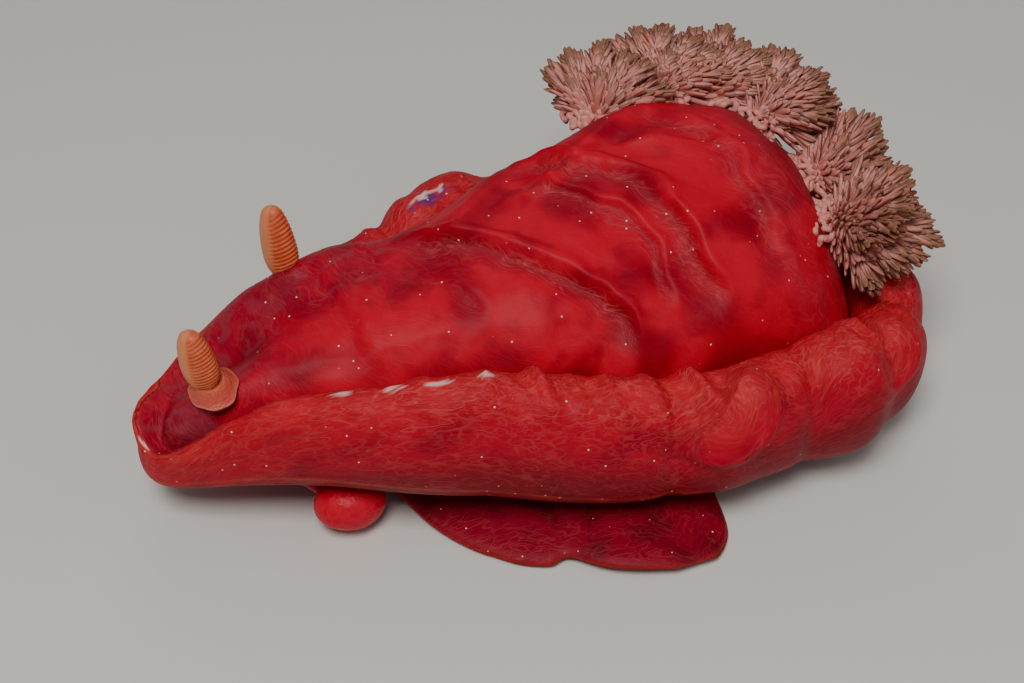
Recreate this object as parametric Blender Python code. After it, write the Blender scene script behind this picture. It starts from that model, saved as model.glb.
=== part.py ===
"""Spanish dancer nudibranch, life size, crawling with its mantle edge rolled up over its back.

Metres, +Z up. The head points along -X, the animal's left side is -Y, and the sole rests at Z = 0.
The body is worked out as if it lay straight, and the last step turns the head to the animal's right.
"""
import math
import random

import bmesh
import bpy
from mathutils import Matrix, Vector

# Gap between two pieces that touch
TOUCH_GAP = 0.0003

# Points of a fused mesh this near each other become one
MERGE_REACH = 0.000001

# Turn of the head: where it starts, its radius on the midline and its angle
TURN_START_X = -0.020
TURN_RADIUS = 0.100
TURN_ANGLE = math.radians(45)

# Plan of the rolled mantle's outer edge
TAIL_CENTRE_X = 0.066
TAIL_LENGTH = 0.0645
TAIL_SQUARENESS = 2.9
HEAD_CENTRE_X = -0.080
HEAD_LENGTH = 0.018
HEAD_SQUARENESS = 3.4
HALF_WIDTH = ((-0.080, 0.0365), (-0.065, 0.0365), (-0.05, 0.0388), (-0.022, 0.0505), (0.013, 0.0655),
              (0.045, 0.0720), (0.066, 0.0725))
RIGHT_SHARE = ((-0.098, 0.60), (-0.09, 0.74), (-0.078, 0.92), (-0.055, 1.22), (-0.03, 1.13), (0.0, 1.02),
               (0.04, 1.06))
EDGE_STATIONS = 46

# The body's inner line, from the tail to the head, which the back's rings shrink to
RIDGE_TAIL_X = 0.074
RIDGE_HEAD_X = -0.082
RIDGE_Y = ((-0.082, 0.0), (-0.05, 0.004), (0.0, 0.012), (0.04, 0.018), (0.074, 0.010))

# The rolled edge, from the tail (0) to the middle of the head's front (1)
ROLL_WIDTH = ((0, 0.019), (0.2, 0.024), (0.36, 0.026), (0.6, 0.025), (0.72, 0.019), (0.8, 0.012),
              (0.87, 0.007), (0.93, 0.0045), (1, 0.004))
ROLL_FOOT_Z = ((0, 0.013), (0.2, 0.0095), (0.36, 0.012), (0.6, 0.0150), (0.70, 0.0200),
               (0.76, 0.0225), (0.82, 0.0220), (0.88, 0.0180), (1, 0.0195))
LEFT_CREST_Z = ((0, 0.044), (0.2, 0.050), (0.30, 0.055), (0.36, 0.056), (0.45, 0.053), (0.52, 0.056),
                (0.6, 0.0595), (0.65, 0.0615), (0.70, 0.0605), (0.76, 0.0575), (0.80, 0.0530),
                (0.83, 0.0460), (0.86, 0.0355), (0.885, 0.0310), (0.92, 0.0350), (1, 0.034))
RIGHT_CREST_Z = ((0, 0.044), (0.2, 0.041), (0.36, 0.037), (0.46, 0.038), (0.50, 0.042), (0.545, 0.050),
                 (0.61, 0.053), (0.66, 0.047), (0.75, 0.045), (0.82, 0.040), (0.92, 0.034), (1, 0.034))
CREASE_Z = ((0, 0.030), (0.36, 0.034), (0.6, 0.034), (0.72, 0.032), (0.8, 0.0295), (0.87, 0.0280),
            (0.94, 0.0290), (1, 0.0305))
RIGHT_CREASE_Z = ((0, 0.030), (0.36, 0.034), (0.55, 0.036), (0.62, 0.043), (0.68, 0.043), (0.75, 0.042),
                  (0.82, 0.0375), (0.92, 0.032), (1, 0.0305))
ROLL_LEAN = ((0, 0.0), (0.8, 0.0), (0.92, 0.35), (1, 0.30))
SECTION_POINTS = 12
WALL_ABOVE_ROLL_FOOT = 0.0035

# Lengths of the rolled edge and where each side is parted
ROLL_NAMES = ("mantle_left_rear", "mantle_left_flank", "mantle_left_side", "mantle_left_front",
              "mantle_brim", "mantle_right_front", "mantle_right_side", "mantle_right_flank",
              "mantle_right_rear", "mantle_tail")
ROLL_CUTS = (0.08, 0.32, 0.56, 0.78, 0.92)

# Swellings and pinches of the roll: place along the edge, share of its size, reach along the edge
LEFT_SWELLINGS = ((0.11, 0.10, 0.030), (0.29, 0.12, 0.028), (0.20, 0.05, 0.04), (0.245, -0.08, 0.02),
                  (0.345, -0.10, 0.012), (0.43, 0.06, 0.020), (0.485, -0.08, 0.012), (0.16, -0.10, 0.012))
RIGHT_SWELLINGS = ((0.15, 0.08, 0.03), (0.33, 0.08, 0.03), (0.24, -0.08, 0.015), (0.42, -0.08, 0.012),
                   (0.56, 0.10, 0.03), (0.64, -0.10, 0.012))

# Height of the back along its inner line, and how boxy its two sides are
BACK_HEIGHT = ((-0.096, 0.027), (-0.088, 0.028), (-0.080, 0.032), (-0.070, 0.042), (-0.058, 0.053),
               (-0.045, 0.060), (-0.028, 0.065), (-0.008, 0.073), (0.006, 0.073), (0.03, 0.081),
               (0.046, 0.080), (0.062, 0.084), (0.078, 0.081))
BACK_RINGS = (0.20, 0.38, 0.54, 0.68, 0.80, 0.90, 0.96, 1.0)
LEFT_ROUNDNESS = 2.3
RIGHT_ROUNDNESS = 3.4
TAIL_ROUNDNESS = 2.6
HEAD_ROUNDNESS = 3.0

# Folds that cross the back: two ends in plan, height and half width
FOLDS = (((-0.030, 0.034), (0.034, -0.046), 0.0030, 0.0070),
         ((0.016, 0.040), (0.060, -0.040), 0.0026, 0.0065),
         ((0.062, 0.034), (0.080, -0.036), 0.0014, 0.0060),
         ((-0.062, 0.024), (-0.040, -0.020), 0.0016, 0.0060))

# Under the mantle and down to the foot
NECK_SHARE = ((0, 0.80), (0.4, 0.66), (0.58, 0.62), (0.70, 0.42), (0.85, 0.32), (1, 0.25))
NECK_Z = 0.010

# Where the body is parted into head and back, and the foot into its lengths
BODY_NAMES = ("head", "back_front", "back_middle", "back_rear")
BODY_CUTS_X = (-0.046, 0.004, 0.056)
FOOT_NAMES = ("foot_front", "foot_middle", "foot_tail")
FOOT_CUTS_X = (-0.030, 0.040)

# The foot: how far its edge lies out, as a share of the way to the roll's outer edge, and its ruffles
FOOT_REACH = ((0, 1.02), (0.12, 0.80), (0.27, 0.70), (0.37, 0.74), (0.43, 1.00), (0.48, 1.13), (0.53, 1.14),
              (0.565, 1.11), (0.587, 1.04), (0.61, 1.09), (0.65, 1.04), (0.68, 0.82), (0.705, 0.54),
              (0.735, 0.40), (0.80, 0.38), (1, 0.40))
FOOT_EDGE_THICKNESS = 0.0022
FOOT_RUFFLES = 9
FOOT_RUFFLE_HEIGHT = 0.0016
FOOT_LIFT = 0.0022
SOLE_SHARE = 0.80

# The two feelers on the head: place in the straight body, lean and sizes
RHINOPHORE_X = {"left": -0.0756, "right": -0.065}
RHINOPHORE_Y = {"left": 0.0197, "right": 0.0240}
RHINOPHORE_LEAN = {"left": (-0.18, -0.08), "right": (0.06, 0.06)}
RHINOPHORE_RISE = {"left": 0.0240, "right": 0.0310}
STALK_RADIUS = 0.0030
CLUB_RADIUS = 0.0052
LAMELLAE = 9
LAMELLA_DEPTH = 0.0009
RHINOPHORE_SIDES = 10
SHEATH_RADIUS = 0.0056
SHEATH_RIM_RADIUS = 0.0074
SHEATH_RISE = 0.0060
SHEATH_WALL = 0.0012
SHEATH_SIDES = 12
SHEATH_ROOT = 0.0045
SHEATH_FLOOR = 0.0015
SOCKET_ROOM = 0.0016
SOCKET_HEIGHT = 0.020
STALK_HEIGHT = 0.0055
STALK_TAPER = 0.0003
PLATE_HALF_STEP = 0.0004

# The soft feelers beside the mouth, and the mouth
TENTACLE_ROUTE = ((-0.077, 0.011, 0.0165), (-0.0685, 0.0140, 0.0150), (-0.0565, 0.0205, 0.0125),
                  (-0.0415, 0.0352, 0.0090))
TENTACLE_RADII = (0.0034, 0.0034, 0.0034, 0.0034, 0.0034, 0.0034, 0.0034, 0.0034, 0.0034, 0.0034, 0.0040,
                  0.0062, 0.0085, 0.0081, 0.0032)
TENTACLE_SIDES = 12
MOUTH_RADIUS = 0.0050
MOUTH_REACH = 0.0040
MOUTH_ROOT = 0.0050
MOUTH_SIDES = 14
MOUTH_PLACE = Vector((-0.0885, 0, 0.0150))
MOUTH_DROOP = 0.75

# The six gills: place along the mantle's edge, side, share of the way out, fronds' length, upward lean
GILLS = ((0.362, 1, 0.80, 0.029, 0.52), (0.272, 1, 0.80, 0.032, 0.52), (0.174, 1, 0.80, 0.032, 0.48),
         (0.088, 1, 0.82, 0.032, 0.44), (0.004, 1, 0.88, 0.032, 0.36), (0.086, -1, 0.87, 0.031, 0.34))
GILL_STEM_RADIUS = 0.0036
GILL_STEM_RISE = 0.0030
GILL_STEM_ROOT = 0.0040
GILL_ALONG_NORMAL = 0.22
GILL_OUTWARD = 0.62
GILL_STEM_SIDES = 10
GILL_SPREAD = math.radians(32)
GILL_FRONDS = 4
GILL_SEED = 11
LOBE_PAIRS = 4
LOBE_LENGTH = 0.0060
LOBE_SWEEP = 0.75
FROND_BARE = 0.24
FROND_HALF_WIDTH = 0.0011
FROND_THICKNESS = 0.0018
LOBE_TIP_THICKNESS = 0.0007
FROND_DROOP = 0.16
FROND_TILT = 0.20


def smooth(share):
    """Eases a share from 0 to 1."""
    share = min(1.0, max(0.0, share))
    return share * share * (3 - 2 * share)


def profile(stations, at):
    """The value at a place, on a smooth curve through the stations."""
    if at <= stations[0][0]:
        return stations[0][1]
    if at >= stations[-1][0]:
        return stations[-1][1]
    last = len(stations) - 1
    i = max(k for k in range(last) if stations[k][0] <= at)

    def slope(k):
        before, after = stations[max(k - 1, 0)], stations[min(k + 1, last)]
        return (after[1] - before[1]) / (after[0] - before[0])

    (x0, y0), (x1, y1) = stations[i], stations[i + 1]
    run = x1 - x0
    u = (at - x0) / run
    return (y0 * (1 + 2 * u) * (1 - u) ** 2 + run * slope(i) * u * (1 - u) ** 2
            + y1 * u * u * (3 - 2 * u) + run * slope(i + 1) * u * u * (u - 1))


def turned(point):
    """A point of the straight body, moved to where the turned head takes it."""
    x, y, z = point
    ahead = TURN_START_X - x
    if ahead <= 0:
        return Vector((x, y, z))
    angle = min(ahead / TURN_RADIUS, TURN_ANGLE)
    further = max(0.0, ahead - TURN_ANGLE * TURN_RADIUS)
    middle_x = TURN_START_X - TURN_RADIUS * math.sin(angle) - further * math.cos(angle)
    middle_y = TURN_RADIUS * (1 - math.cos(angle)) + further * math.sin(angle)
    return Vector((middle_x + y * math.sin(angle), middle_y + y * math.cos(angle), z))


def left_edge():
    """The plan's left edge, from the tail's end to the middle of the head's front, at even steps."""
    fine = 80
    path = []
    tail_width, head_width = HALF_WIDTH[-1][1], HALF_WIDTH[0][1]
    for i in range(fine):
        a = math.pi / 2 * i / fine
        power = 2 / TAIL_SQUARENESS
        path.append(Vector((TAIL_CENTRE_X + TAIL_LENGTH * math.cos(a) ** power,
                            -tail_width * math.sin(a) ** power)))
    for i in range(fine):
        x = TAIL_CENTRE_X + (HEAD_CENTRE_X - TAIL_CENTRE_X) * i / fine
        path.append(Vector((x, -profile(HALF_WIDTH, x))))
    for i in range(fine + 1):
        a = math.pi / 2 * (1 - i / fine)
        power = 2 / HEAD_SQUARENESS
        path.append(Vector((HEAD_CENTRE_X - HEAD_LENGTH * abs(math.cos(a)) ** power,
                            -head_width * abs(math.sin(a)) ** power)))
    run = [0.0]
    for a, b in zip(path, path[1:]):
        run.append(run[-1] + (b - a).length)
    even = []
    k = 0
    for i in range(EDGE_STATIONS + 1):
        want = run[-1] * i / EDGE_STATIONS
        while k < len(run) - 2 and run[k + 1] < want:
            k += 1
        even.append(path[k].lerp(path[k + 1], (want - run[k]) / (run[k + 1] - run[k])))
    return even, run[-1]


class Station:
    """One place on the mantle's edge: its point, the way outward, its place from tail to head, its side."""

    def __init__(self, point, outward, place, side):
        self.point, self.outward, self.place, self.side = point, outward, place, side
        ridge_x = RIDGE_TAIL_X + (RIDGE_HEAD_X - RIDGE_TAIL_X) * place
        self.ridge = Vector((ridge_x, profile(RIDGE_Y, ridge_x)))
        self.crease = point - outward * profile(ROLL_WIDTH, place)
        self.crease_z = profile(RIGHT_CREASE_Z if side > 0 else CREASE_Z, place)
        beside = RIGHT_ROUNDNESS if side > 0 else LEFT_ROUNDNESS
        self.roundness = TAIL_ROUNDNESS + (beside - TAIL_ROUNDNESS) * smooth(place / 0.15)
        self.roundness += (HEAD_ROUNDNESS - self.roundness) * smooth((place - 0.6) / 0.3)

    def back(self, share):
        """A point of the back, share being how far out it lies from the inner line to the crease."""
        spot = self.ridge.lerp(self.crease, share)
        top = profile(BACK_HEIGHT, self.ridge.x) + fold_height(spot)
        curve = (1 - share ** self.roundness) ** 0.5
        return Vector((spot.x, spot.y, self.crease_z + (top - self.crease_z) * curve))


def fold_height(spot):
    """How much the folds that cross the back raise it at a spot in plan."""
    height = 0.0
    for start, end, rise, half_wide in FOLDS:
        a, b = Vector(start), Vector(end)
        along = (spot - a).dot(b - a) / (b - a).length_squared
        inside = smooth(along / 0.2) * smooth((1 - along) / 0.2)
        off = (spot - a.lerp(b, along)).length
        height += rise * inside * math.exp(-(off / half_wide) ** 2)
    return height


def edge_ring():
    """Stations all round the plan, from the tail along the left side to the head and back."""
    left, half_length = left_edge()
    right = [Vector((p.x, -p.y * profile(RIGHT_SHARE, p.x))) for p in reversed(left[1:-1])]
    points = left + right
    count = len(points)
    ring = []
    for i, point in enumerate(points):
        along = points[(i + 1) % count] - points[i - 1]
        outward = Vector((along.y, -along.x)).normalized()
        if outward.dot(point - Vector((0.02, 0))) < 0:
            outward.negate()
        place = (i if i <= EDGE_STATIONS else count - i) / EDGE_STATIONS
        ring.append(Station(point, outward, place, -1 if i <= EDGE_STATIONS else 1))
    return ring, half_length


def swelling(place, side):
    """How much bigger or smaller the roll is here than its plain size."""
    swellings = LEFT_SWELLINGS if side < 0 else RIGHT_SWELLINGS
    return 1 + sum(size * math.exp(-((place - at) / reach) ** 2) for at, size, reach in swellings)


def roll_section(station):
    """The roll's outline at one station: an oval whose lower inner corner is squared against the body."""
    place, outward = station.place, station.outward
    foot = profile(ROLL_FOOT_Z, place)
    crest = profile(LEFT_CREST_Z if station.side < 0 else RIGHT_CREST_Z, place)
    grown = swelling(place, station.side)
    half_wide = profile(ROLL_WIDTH, place) / 2
    half_high = (crest - foot) / 2 * (1 + (grown - 1) * 0.7)
    middle_z = foot + half_high
    points = []
    for k in range(SECTION_POINTS):
        a = 2 * math.pi * (k + 0.5) / SECTION_POINTS
        c, s = math.cos(a), math.sin(a)
        power = 0.35 if c < 0 and s < 0 else 0.9
        across = math.copysign(abs(c) ** power, c)
        up = math.copysign(abs(s) ** power, s)
        out = half_wide * (1 + across) if c < 0 else half_wide * (1 + across * (1 + (grown - 1) * 2))
        z = middle_z + half_high * up
        out += max(0.0, z - station.crease_z) * profile(ROLL_LEAN, place)
        spot = station.crease + outward * (TOUCH_GAP + out)
        points.append(Vector((spot.x, spot.y, z)))
    return points


def linked(bm, name, material):
    """Makes an object of a closed mesh, shaded smooth."""
    bmesh.ops.recalc_face_normals(bm, faces=bm.faces)
    mesh = bpy.data.meshes.new(name)
    bm.to_mesh(mesh)
    bm.free()
    mesh.shade_smooth()
    mesh.set_sharp_from_angle(angle=math.radians(50))
    if material:
        mesh.materials.append(material)
    obj = bpy.data.objects.new(name, mesh)
    bpy.context.scene.collection.objects.link(obj)
    return obj


def finished(bm, name, material):
    """Turns a straight-body mesh with the head, and makes an object of it."""
    for vertex in bm.verts:
        vertex.co = turned(vertex.co)
    return linked(bm, name, material)


def bridge(bm, rows):
    """Faces between neighbouring closed rows of vertices."""
    for a, b in zip(rows, rows[1:]):
        count = len(a)
        for k in range(count):
            j = (k + 1) % count
            bm.faces.new((a[k], a[j], b[j], b[k]))


def fan(bm, row, centre):
    """Closes a row of vertices to one point."""
    tip = bm.verts.new(centre)
    for k in range(len(row)):
        bm.faces.new((row[k], row[(k + 1) % len(row)], tip))


def fill_to_line(bm, row, line):
    """Closes a ring of stations to the body's inner line, whose points run from tail to head."""
    count = len(row)
    for i in range(count):
        j = (i + 1) % count
        a = line[min(i, count - i)]
        b = line[min(j, count - j)]
        bm.faces.new((row[i], row[j], b, a))


def inner_line(bm, ring, height):
    """Vertices along the body's inner line, from tail to head."""
    return [bm.verts.new((s.ridge.x, s.ridge.y, height(s))) for s in ring[:EDGE_STATIONS + 1]]


def body_mesh(ring):
    """The whole back, the walls that the roll grows from, and the underside down to the foot."""
    bm = bmesh.new()
    rows = [[bm.verts.new(station.back(share)) for station in ring] for share in BACK_RINGS]
    wall_low, under, neck = [], [], []
    for station in ring:
        spot = station.crease
        low = profile(ROLL_FOOT_Z, station.place) + WALL_ABOVE_ROLL_FOOT
        share = profile(NECK_SHARE, station.place)
        wall_low.append(bm.verts.new((spot.x, spot.y, low)))
        half_in = station.ridge.lerp(spot, (1 + share) / 2)
        under.append(bm.verts.new((half_in.x, half_in.y, (low + NECK_Z) / 2 + 0.001)))
        neck_in = station.ridge.lerp(spot, share)
        neck.append(bm.verts.new((neck_in.x, neck_in.y, NECK_Z)))
    rows += [wall_low, under, neck]
    bridge(bm, rows)
    fill_to_line(bm, rows[0], inner_line(bm, ring, lambda s: s.back(0).z))
    fill_to_line(bm, neck, inner_line(bm, ring, lambda s: NECK_Z))
    bmesh.ops.recalc_face_normals(bm, faces=bm.faces)
    return bm


def cut_away(bm, x, keep_tail):
    """Cuts the mesh at x, keeps the tail's side or the head's, and closes it."""
    geometry = bm.verts[:] + bm.edges[:] + bm.faces[:]
    bmesh.ops.bisect_plane(bm, geom=geometry, plane_co=(x, 0, 0), plane_no=(1, 0, 0),
                           clear_inner=keep_tail, clear_outer=not keep_tail)
    rim = [edge for edge in bm.edges if edge.is_boundary]
    cap = bmesh.ops.edgenet_fill(bm, edges=rim)["faces"]
    bmesh.ops.triangulate(bm, faces=cap)


def add_lengths(make, names, cuts, skin):
    """Parts one long mesh into named lengths, from head to tail, with a hair between them."""
    made = {}
    ends = (None, *cuts, None)
    for name, low, high in zip(names, ends, ends[1:]):
        bm = make()
        if low is not None:
            cut_away(bm, low + TOUCH_GAP / 2, keep_tail=True)
        if high is not None:
            cut_away(bm, high - TOUCH_GAP / 2, keep_tail=False)
        made[name] = finished(bm, name, skin)
    return made


def foot_mesh(ring):
    """The foot: a flat sole, a thin ruffled edge, and a top that meets the body."""
    bm = bmesh.new()
    top, slope, rim_top, rim_low, sole = [], [], [], [], []
    for i, station in enumerate(ring):
        neck_in = station.ridge.lerp(station.crease, profile(NECK_SHARE, station.place) - 0.02)
        reach = profile(FOOT_REACH, station.place)
        edge = station.ridge.lerp(station.point, reach)
        ruffle = math.sin(2 * math.pi * FOOT_RUFFLES * i / len(ring) + 0.8 * station.side)
        lift = FOOT_LIFT + FOOT_RUFFLE_HEIGHT * ruffle
        half = neck_in.lerp(edge, 0.5)
        flat = neck_in.lerp(edge, SOLE_SHARE)
        top.append(bm.verts.new((neck_in.x, neck_in.y, NECK_Z - TOUCH_GAP)))
        slope.append(bm.verts.new((half.x, half.y, 0.0062 + lift * 0.4)))
        rim_top.append(bm.verts.new((edge.x, edge.y, lift + FOOT_EDGE_THICKNESS)))
        rim_low.append(bm.verts.new((edge.x, edge.y, lift)))
        sole.append(bm.verts.new((flat.x, flat.y, 0)))
    bridge(bm, [top, slope, rim_top, rim_low, sole])
    fill_to_line(bm, top, inner_line(bm, ring, lambda s: NECK_Z - TOUCH_GAP))
    fill_to_line(bm, sole, inner_line(bm, ring, lambda s: 0))
    bmesh.ops.recalc_face_normals(bm, faces=bm.faces)
    return bm


def add_roll_length(name, sections, first, last, spacing, skin):
    """One length of the rolled edge, from one station to a later one, its ends a hair short of them."""
    count = len(sections)
    trim = TOUCH_GAP / 2 / spacing
    rows = []
    for i in range(first, last + 1):
        here = sections[i % count]
        if i == first:
            here = [a.lerp(b, trim) for a, b in zip(here, sections[(i + 1) % count])]
        if i == last:
            here = [a.lerp(b, trim) for a, b in zip(here, sections[(i - 1) % count])]
        rows.append(here)
    bm = bmesh.new()
    rows = [[bm.verts.new(p) for p in row] for row in rows]
    bridge(bm, rows)
    bm.faces.new(rows[0])
    bm.faces.new(reversed(rows[-1]))
    finished(bm, name, skin)


def add_roll(ring, half_length, skin):
    """The rolled mantle edge in ten lengths, all round the body."""
    sections = [roll_section(station) for station in ring]
    spacing = half_length / EDGE_STATIONS
    starts = [round(place * EDGE_STATIONS) for place in ROLL_CUTS]
    whole = 2 * EDGE_STATIONS
    stops = starts + [whole - start for start in reversed(starts)]
    for name, first, last in zip(ROLL_NAMES, stops, stops[1:] + [stops[0] + whole]):
        add_roll_length(name, sections, first, last, spacing, skin)


def tube(path, radii, sides, squash=1.0, flat_way=None):
    """A closed tube of varying radius along a path, as a mesh; squash thins it along flat_way."""
    bm = bmesh.new()
    rows = []
    for i, (point, radius) in enumerate(zip(path, radii)):
        along = (path[min(i + 1, len(path) - 1)] - path[max(i - 1, 0)]).normalized()
        across = along.cross(flat_way or Vector((0.3, 0.2, 0.93))).normalized()
        thin = across.cross(along).normalized()
        rows.append([bm.verts.new(point + radius * (across * math.cos(a) + thin * squash * math.sin(a)))
                     for a in (2 * math.pi * k / sides for k in range(sides))])
    bridge(bm, rows)
    bm.faces.new(rows[0])
    bm.faces.new(reversed(rows[-1]))
    bmesh.ops.triangulate(bm, faces=bm.faces[:])
    return bm


def joined(base, pieces, operation):
    """Fuses pieces into the base, or cuts them out of it, and keeps the largest closed surface."""
    group = bpy.data.collections.new("pieces")
    bpy.context.scene.collection.children.link(group)
    for piece in pieces:
        group.objects.link(piece)
    change = base.modifiers.new("join", "BOOLEAN")
    change.operation = operation
    change.operand_type = "COLLECTION"
    change.collection = group
    change.solver = "EXACT"
    bpy.context.view_layer.update()
    mesh = bpy.data.meshes.new_from_object(base.evaluated_get(bpy.context.evaluated_depsgraph_get()))
    base.modifiers.clear()
    old = base.data
    base.data = mesh
    bpy.data.meshes.remove(old)
    for piece in pieces:
        bpy.data.objects.remove(piece)
    bpy.data.collections.remove(group)
    keep_largest(mesh)
    mesh.name = base.name


def keep_largest(mesh):
    """Drops every loose scrap of a mesh but the surface that holds the most faces."""
    bm = bmesh.new()
    bm.from_mesh(mesh)
    bmesh.ops.remove_doubles(bm, verts=bm.verts, dist=MERGE_REACH)
    left = set(bm.faces)
    best = set()
    while left:
        found = {left.pop()}
        edge_of = list(found)
        while edge_of:
            face = edge_of.pop()
            near = {other for edge in face.edges for other in edge.link_faces} - found
            found |= near
            edge_of += near
        left -= found
        if len(found) > len(best):
            best = found
    bmesh.ops.delete(bm, geom=[face for face in bm.faces if face not in best], context="FACES")
    bm.to_mesh(mesh)
    bm.free()


def frame_at(point, up):
    """Where a round piece stands: its point, and its own Z along up."""
    return Matrix.Translation(point) @ up.to_track_quat("Z", "Y").to_matrix().to_4x4()


def lathe(rows, sides):
    """A closed turned piece of (radius, height) rows, whose first and last radii may be 0."""
    bm = bmesh.new()
    made = []
    for radius, height in rows:
        if radius:
            made.append([bm.verts.new((radius * math.cos(a), radius * math.sin(a), height))
                         for a in (2 * math.pi * k / sides for k in range(sides))])
    bridge(bm, made)
    for row, (radius, height) in ((made[0], rows[0]), (made[-1], rows[-1])):
        if radius:
            bm.faces.new(row)
        else:
            fan(bm, row, (0, 0, height))
    return bm


def placed(bm, place, name, material):
    bmesh.ops.transform(bm, matrix=place, verts=bm.verts)
    return linked(bm, name, material)


def surface_at(ring, place, side, share):
    """A point of the turned back and the way straight out from it."""
    i = round(place * EDGE_STATIONS)
    station = ring[i if side < 0 else (len(ring) - i) % len(ring)]
    after = ring[(ring.index(station) + 1) % len(ring)]
    spot = turned(station.back(share))
    across = turned(station.back(share + 0.05)) - spot
    along = turned(after.back(share)) - spot
    normal = across.cross(along).normalized()
    if normal.z < 0:
        normal.negate()
    return spot, normal


def along_route(route, steps):
    """Even steps along a smooth curve through a few points."""
    places = [i / (len(route) - 1) for i in range(len(route))]
    curves = [tuple(zip(places, values)) for values in zip(*route)]
    return [tuple(profile(curve, i / (steps - 1)) for curve in curves) for i in range(steps)]


def sheath_rows():
    """The flared cup round a rhinophore: up its outside from under its floor, then down its inside."""
    rim, floor = SHEATH_RISE, SHEATH_FLOOR - SHEATH_ROOT
    return ((0, -SHEATH_ROOT), (SHEATH_RADIUS, -SHEATH_ROOT), (SHEATH_RADIUS, 0.001),
            (SHEATH_RADIUS + 0.0004, rim * 0.5), (SHEATH_RIM_RADIUS, rim),
            (SHEATH_RIM_RADIUS - SHEATH_WALL, rim - 0.0003), (SHEATH_RADIUS - SHEATH_WALL, rim * 0.45),
            (STALK_RADIUS + TOUCH_GAP, 0.0), (STALK_RADIUS + TOUCH_GAP, floor), (0, floor))


def socket_rows():
    """The hole in the head that a sheath stands in."""
    snug = SHEATH_RADIUS + TOUCH_GAP
    wide = SHEATH_RIM_RADIUS + SOCKET_ROOM
    return ((snug, -SHEATH_ROOT - TOUCH_GAP), (snug, -SOCKET_ROOM / 2), (wide, SHEATH_RISE * 0.6),
            (wide, SOCKET_HEIGHT))


def club_rows(rise):
    """A rhinophore: a stalk, then a tapering club of stacked plates."""
    floor = SHEATH_FLOOR - SHEATH_ROOT + TOUCH_GAP
    thin = STALK_RADIUS - STALK_TAPER
    rows = [(0, floor), (thin, floor), (thin, STALK_HEIGHT)]
    for k in range(LAMELLAE):
        at = (k + 0.5) / LAMELLAE
        swell = 0.72 + 0.28 * math.sin(math.pi * min(1, at * 1.6))
        wide = CLUB_RADIUS * swell * (1 - at ** 4 * 0.62)
        z = STALK_HEIGHT + (rise - STALK_HEIGHT) * (0.06 + 0.88 * at)
        rows += [(wide - LAMELLA_DEPTH, z - PLATE_HALF_STEP), (wide, z + PLATE_HALF_STEP)]
    return rows + [(0, rise)]


def add_rhinophores(ring, head, skin, horn):
    """The two lamellate feelers in their sheaths, each sunk in a socket of the head."""
    cutters = []
    for name, side in (("left", -1), ("right", 1)):
        seat = frame_at(*rhinophore_seat(ring, side))
        cutters.append(placed(lathe(socket_rows(), SHEATH_SIDES), seat, "socket", None))
        placed(lathe(sheath_rows(), SHEATH_SIDES), seat, "rhinophore_sheath_" + name, skin)
        club = lathe(club_rows(RHINOPHORE_RISE[name]), RHINOPHORE_SIDES)
        placed(club, seat, "rhinophore_" + name, horn)
    joined(head, cutters, "DIFFERENCE")


def rhinophore_seat(ring, side):
    """Where a rhinophore stands on the head, and the way that it leans."""
    name = "left" if side < 0 else "right"
    x, y = RHINOPHORE_X[name], side * RHINOPHORE_Y[name]
    station = min(ring, key=lambda s: (s.side != side, abs(s.crease.x - x)))
    height = station.back((y - station.ridge.y) / (station.crease.y - station.ridge.y)).z
    base = turned(Vector((x, y, height)))
    return base, Vector((*RHINOPHORE_LEAN[name], 1)).normalized()


def add_mouth_parts(head, skin):
    """The feelers beside the mouth and the puckered mouth, sunk in sockets of the head."""
    cutters = []
    for name, side in (("left", -1), ("right", 1)):
        steps = len(TENTACLE_RADII)
        path = [turned(Vector((x, side * y, z))) for x, y, z in along_route(TENTACLE_ROUTE, steps)]
        lobe = tube(path, TENTACLE_RADII, TENTACLE_SIDES, squash=0.92)
        linked(lobe, "oral_tentacle_" + name, skin)
        wider = [radius + TOUCH_GAP for radius in TENTACLE_RADII]
        longer = [path[0] + (path[0] - path[1]).normalized() * TOUCH_GAP] + path[1:]
        cutters.append(linked(tube(longer, wider, TENTACLE_SIDES, squash=0.92), "socket", None))
    front = turned(MOUTH_PLACE)
    ahead = turned(MOUTH_PLACE - Vector((0.010, 0, 0))) - front
    seat = frame_at(front, ahead.normalized() - Vector((0, 0, MOUTH_DROOP)))
    lip, root = MOUTH_REACH, MOUTH_RADIUS * 0.8
    rows = ((0, -MOUTH_ROOT), (root, -MOUTH_ROOT), (root, -0.001), (MOUTH_RADIUS, lip * 0.5),
            (MOUTH_RADIUS * 0.9, lip * 0.9), (MOUTH_RADIUS * 0.55, lip), (MOUTH_RADIUS * 0.22, lip * 0.55),
            (0, lip * 0.3))
    placed(lathe(rows, MOUTH_SIDES), seat, "mouth", skin)
    hole = ((root + TOUCH_GAP, -MOUTH_ROOT - TOUCH_GAP), (root + TOUCH_GAP, -0.001),
            (MOUTH_RADIUS + TOUCH_GAP, lip * 0.5), (MOUTH_RADIUS + TOUCH_GAP, SOCKET_HEIGHT))
    cutters.append(placed(lathe(hole, MOUTH_SIDES), seat, "socket", None))
    joined(head, cutters, "DIFFERENCE")


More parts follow.
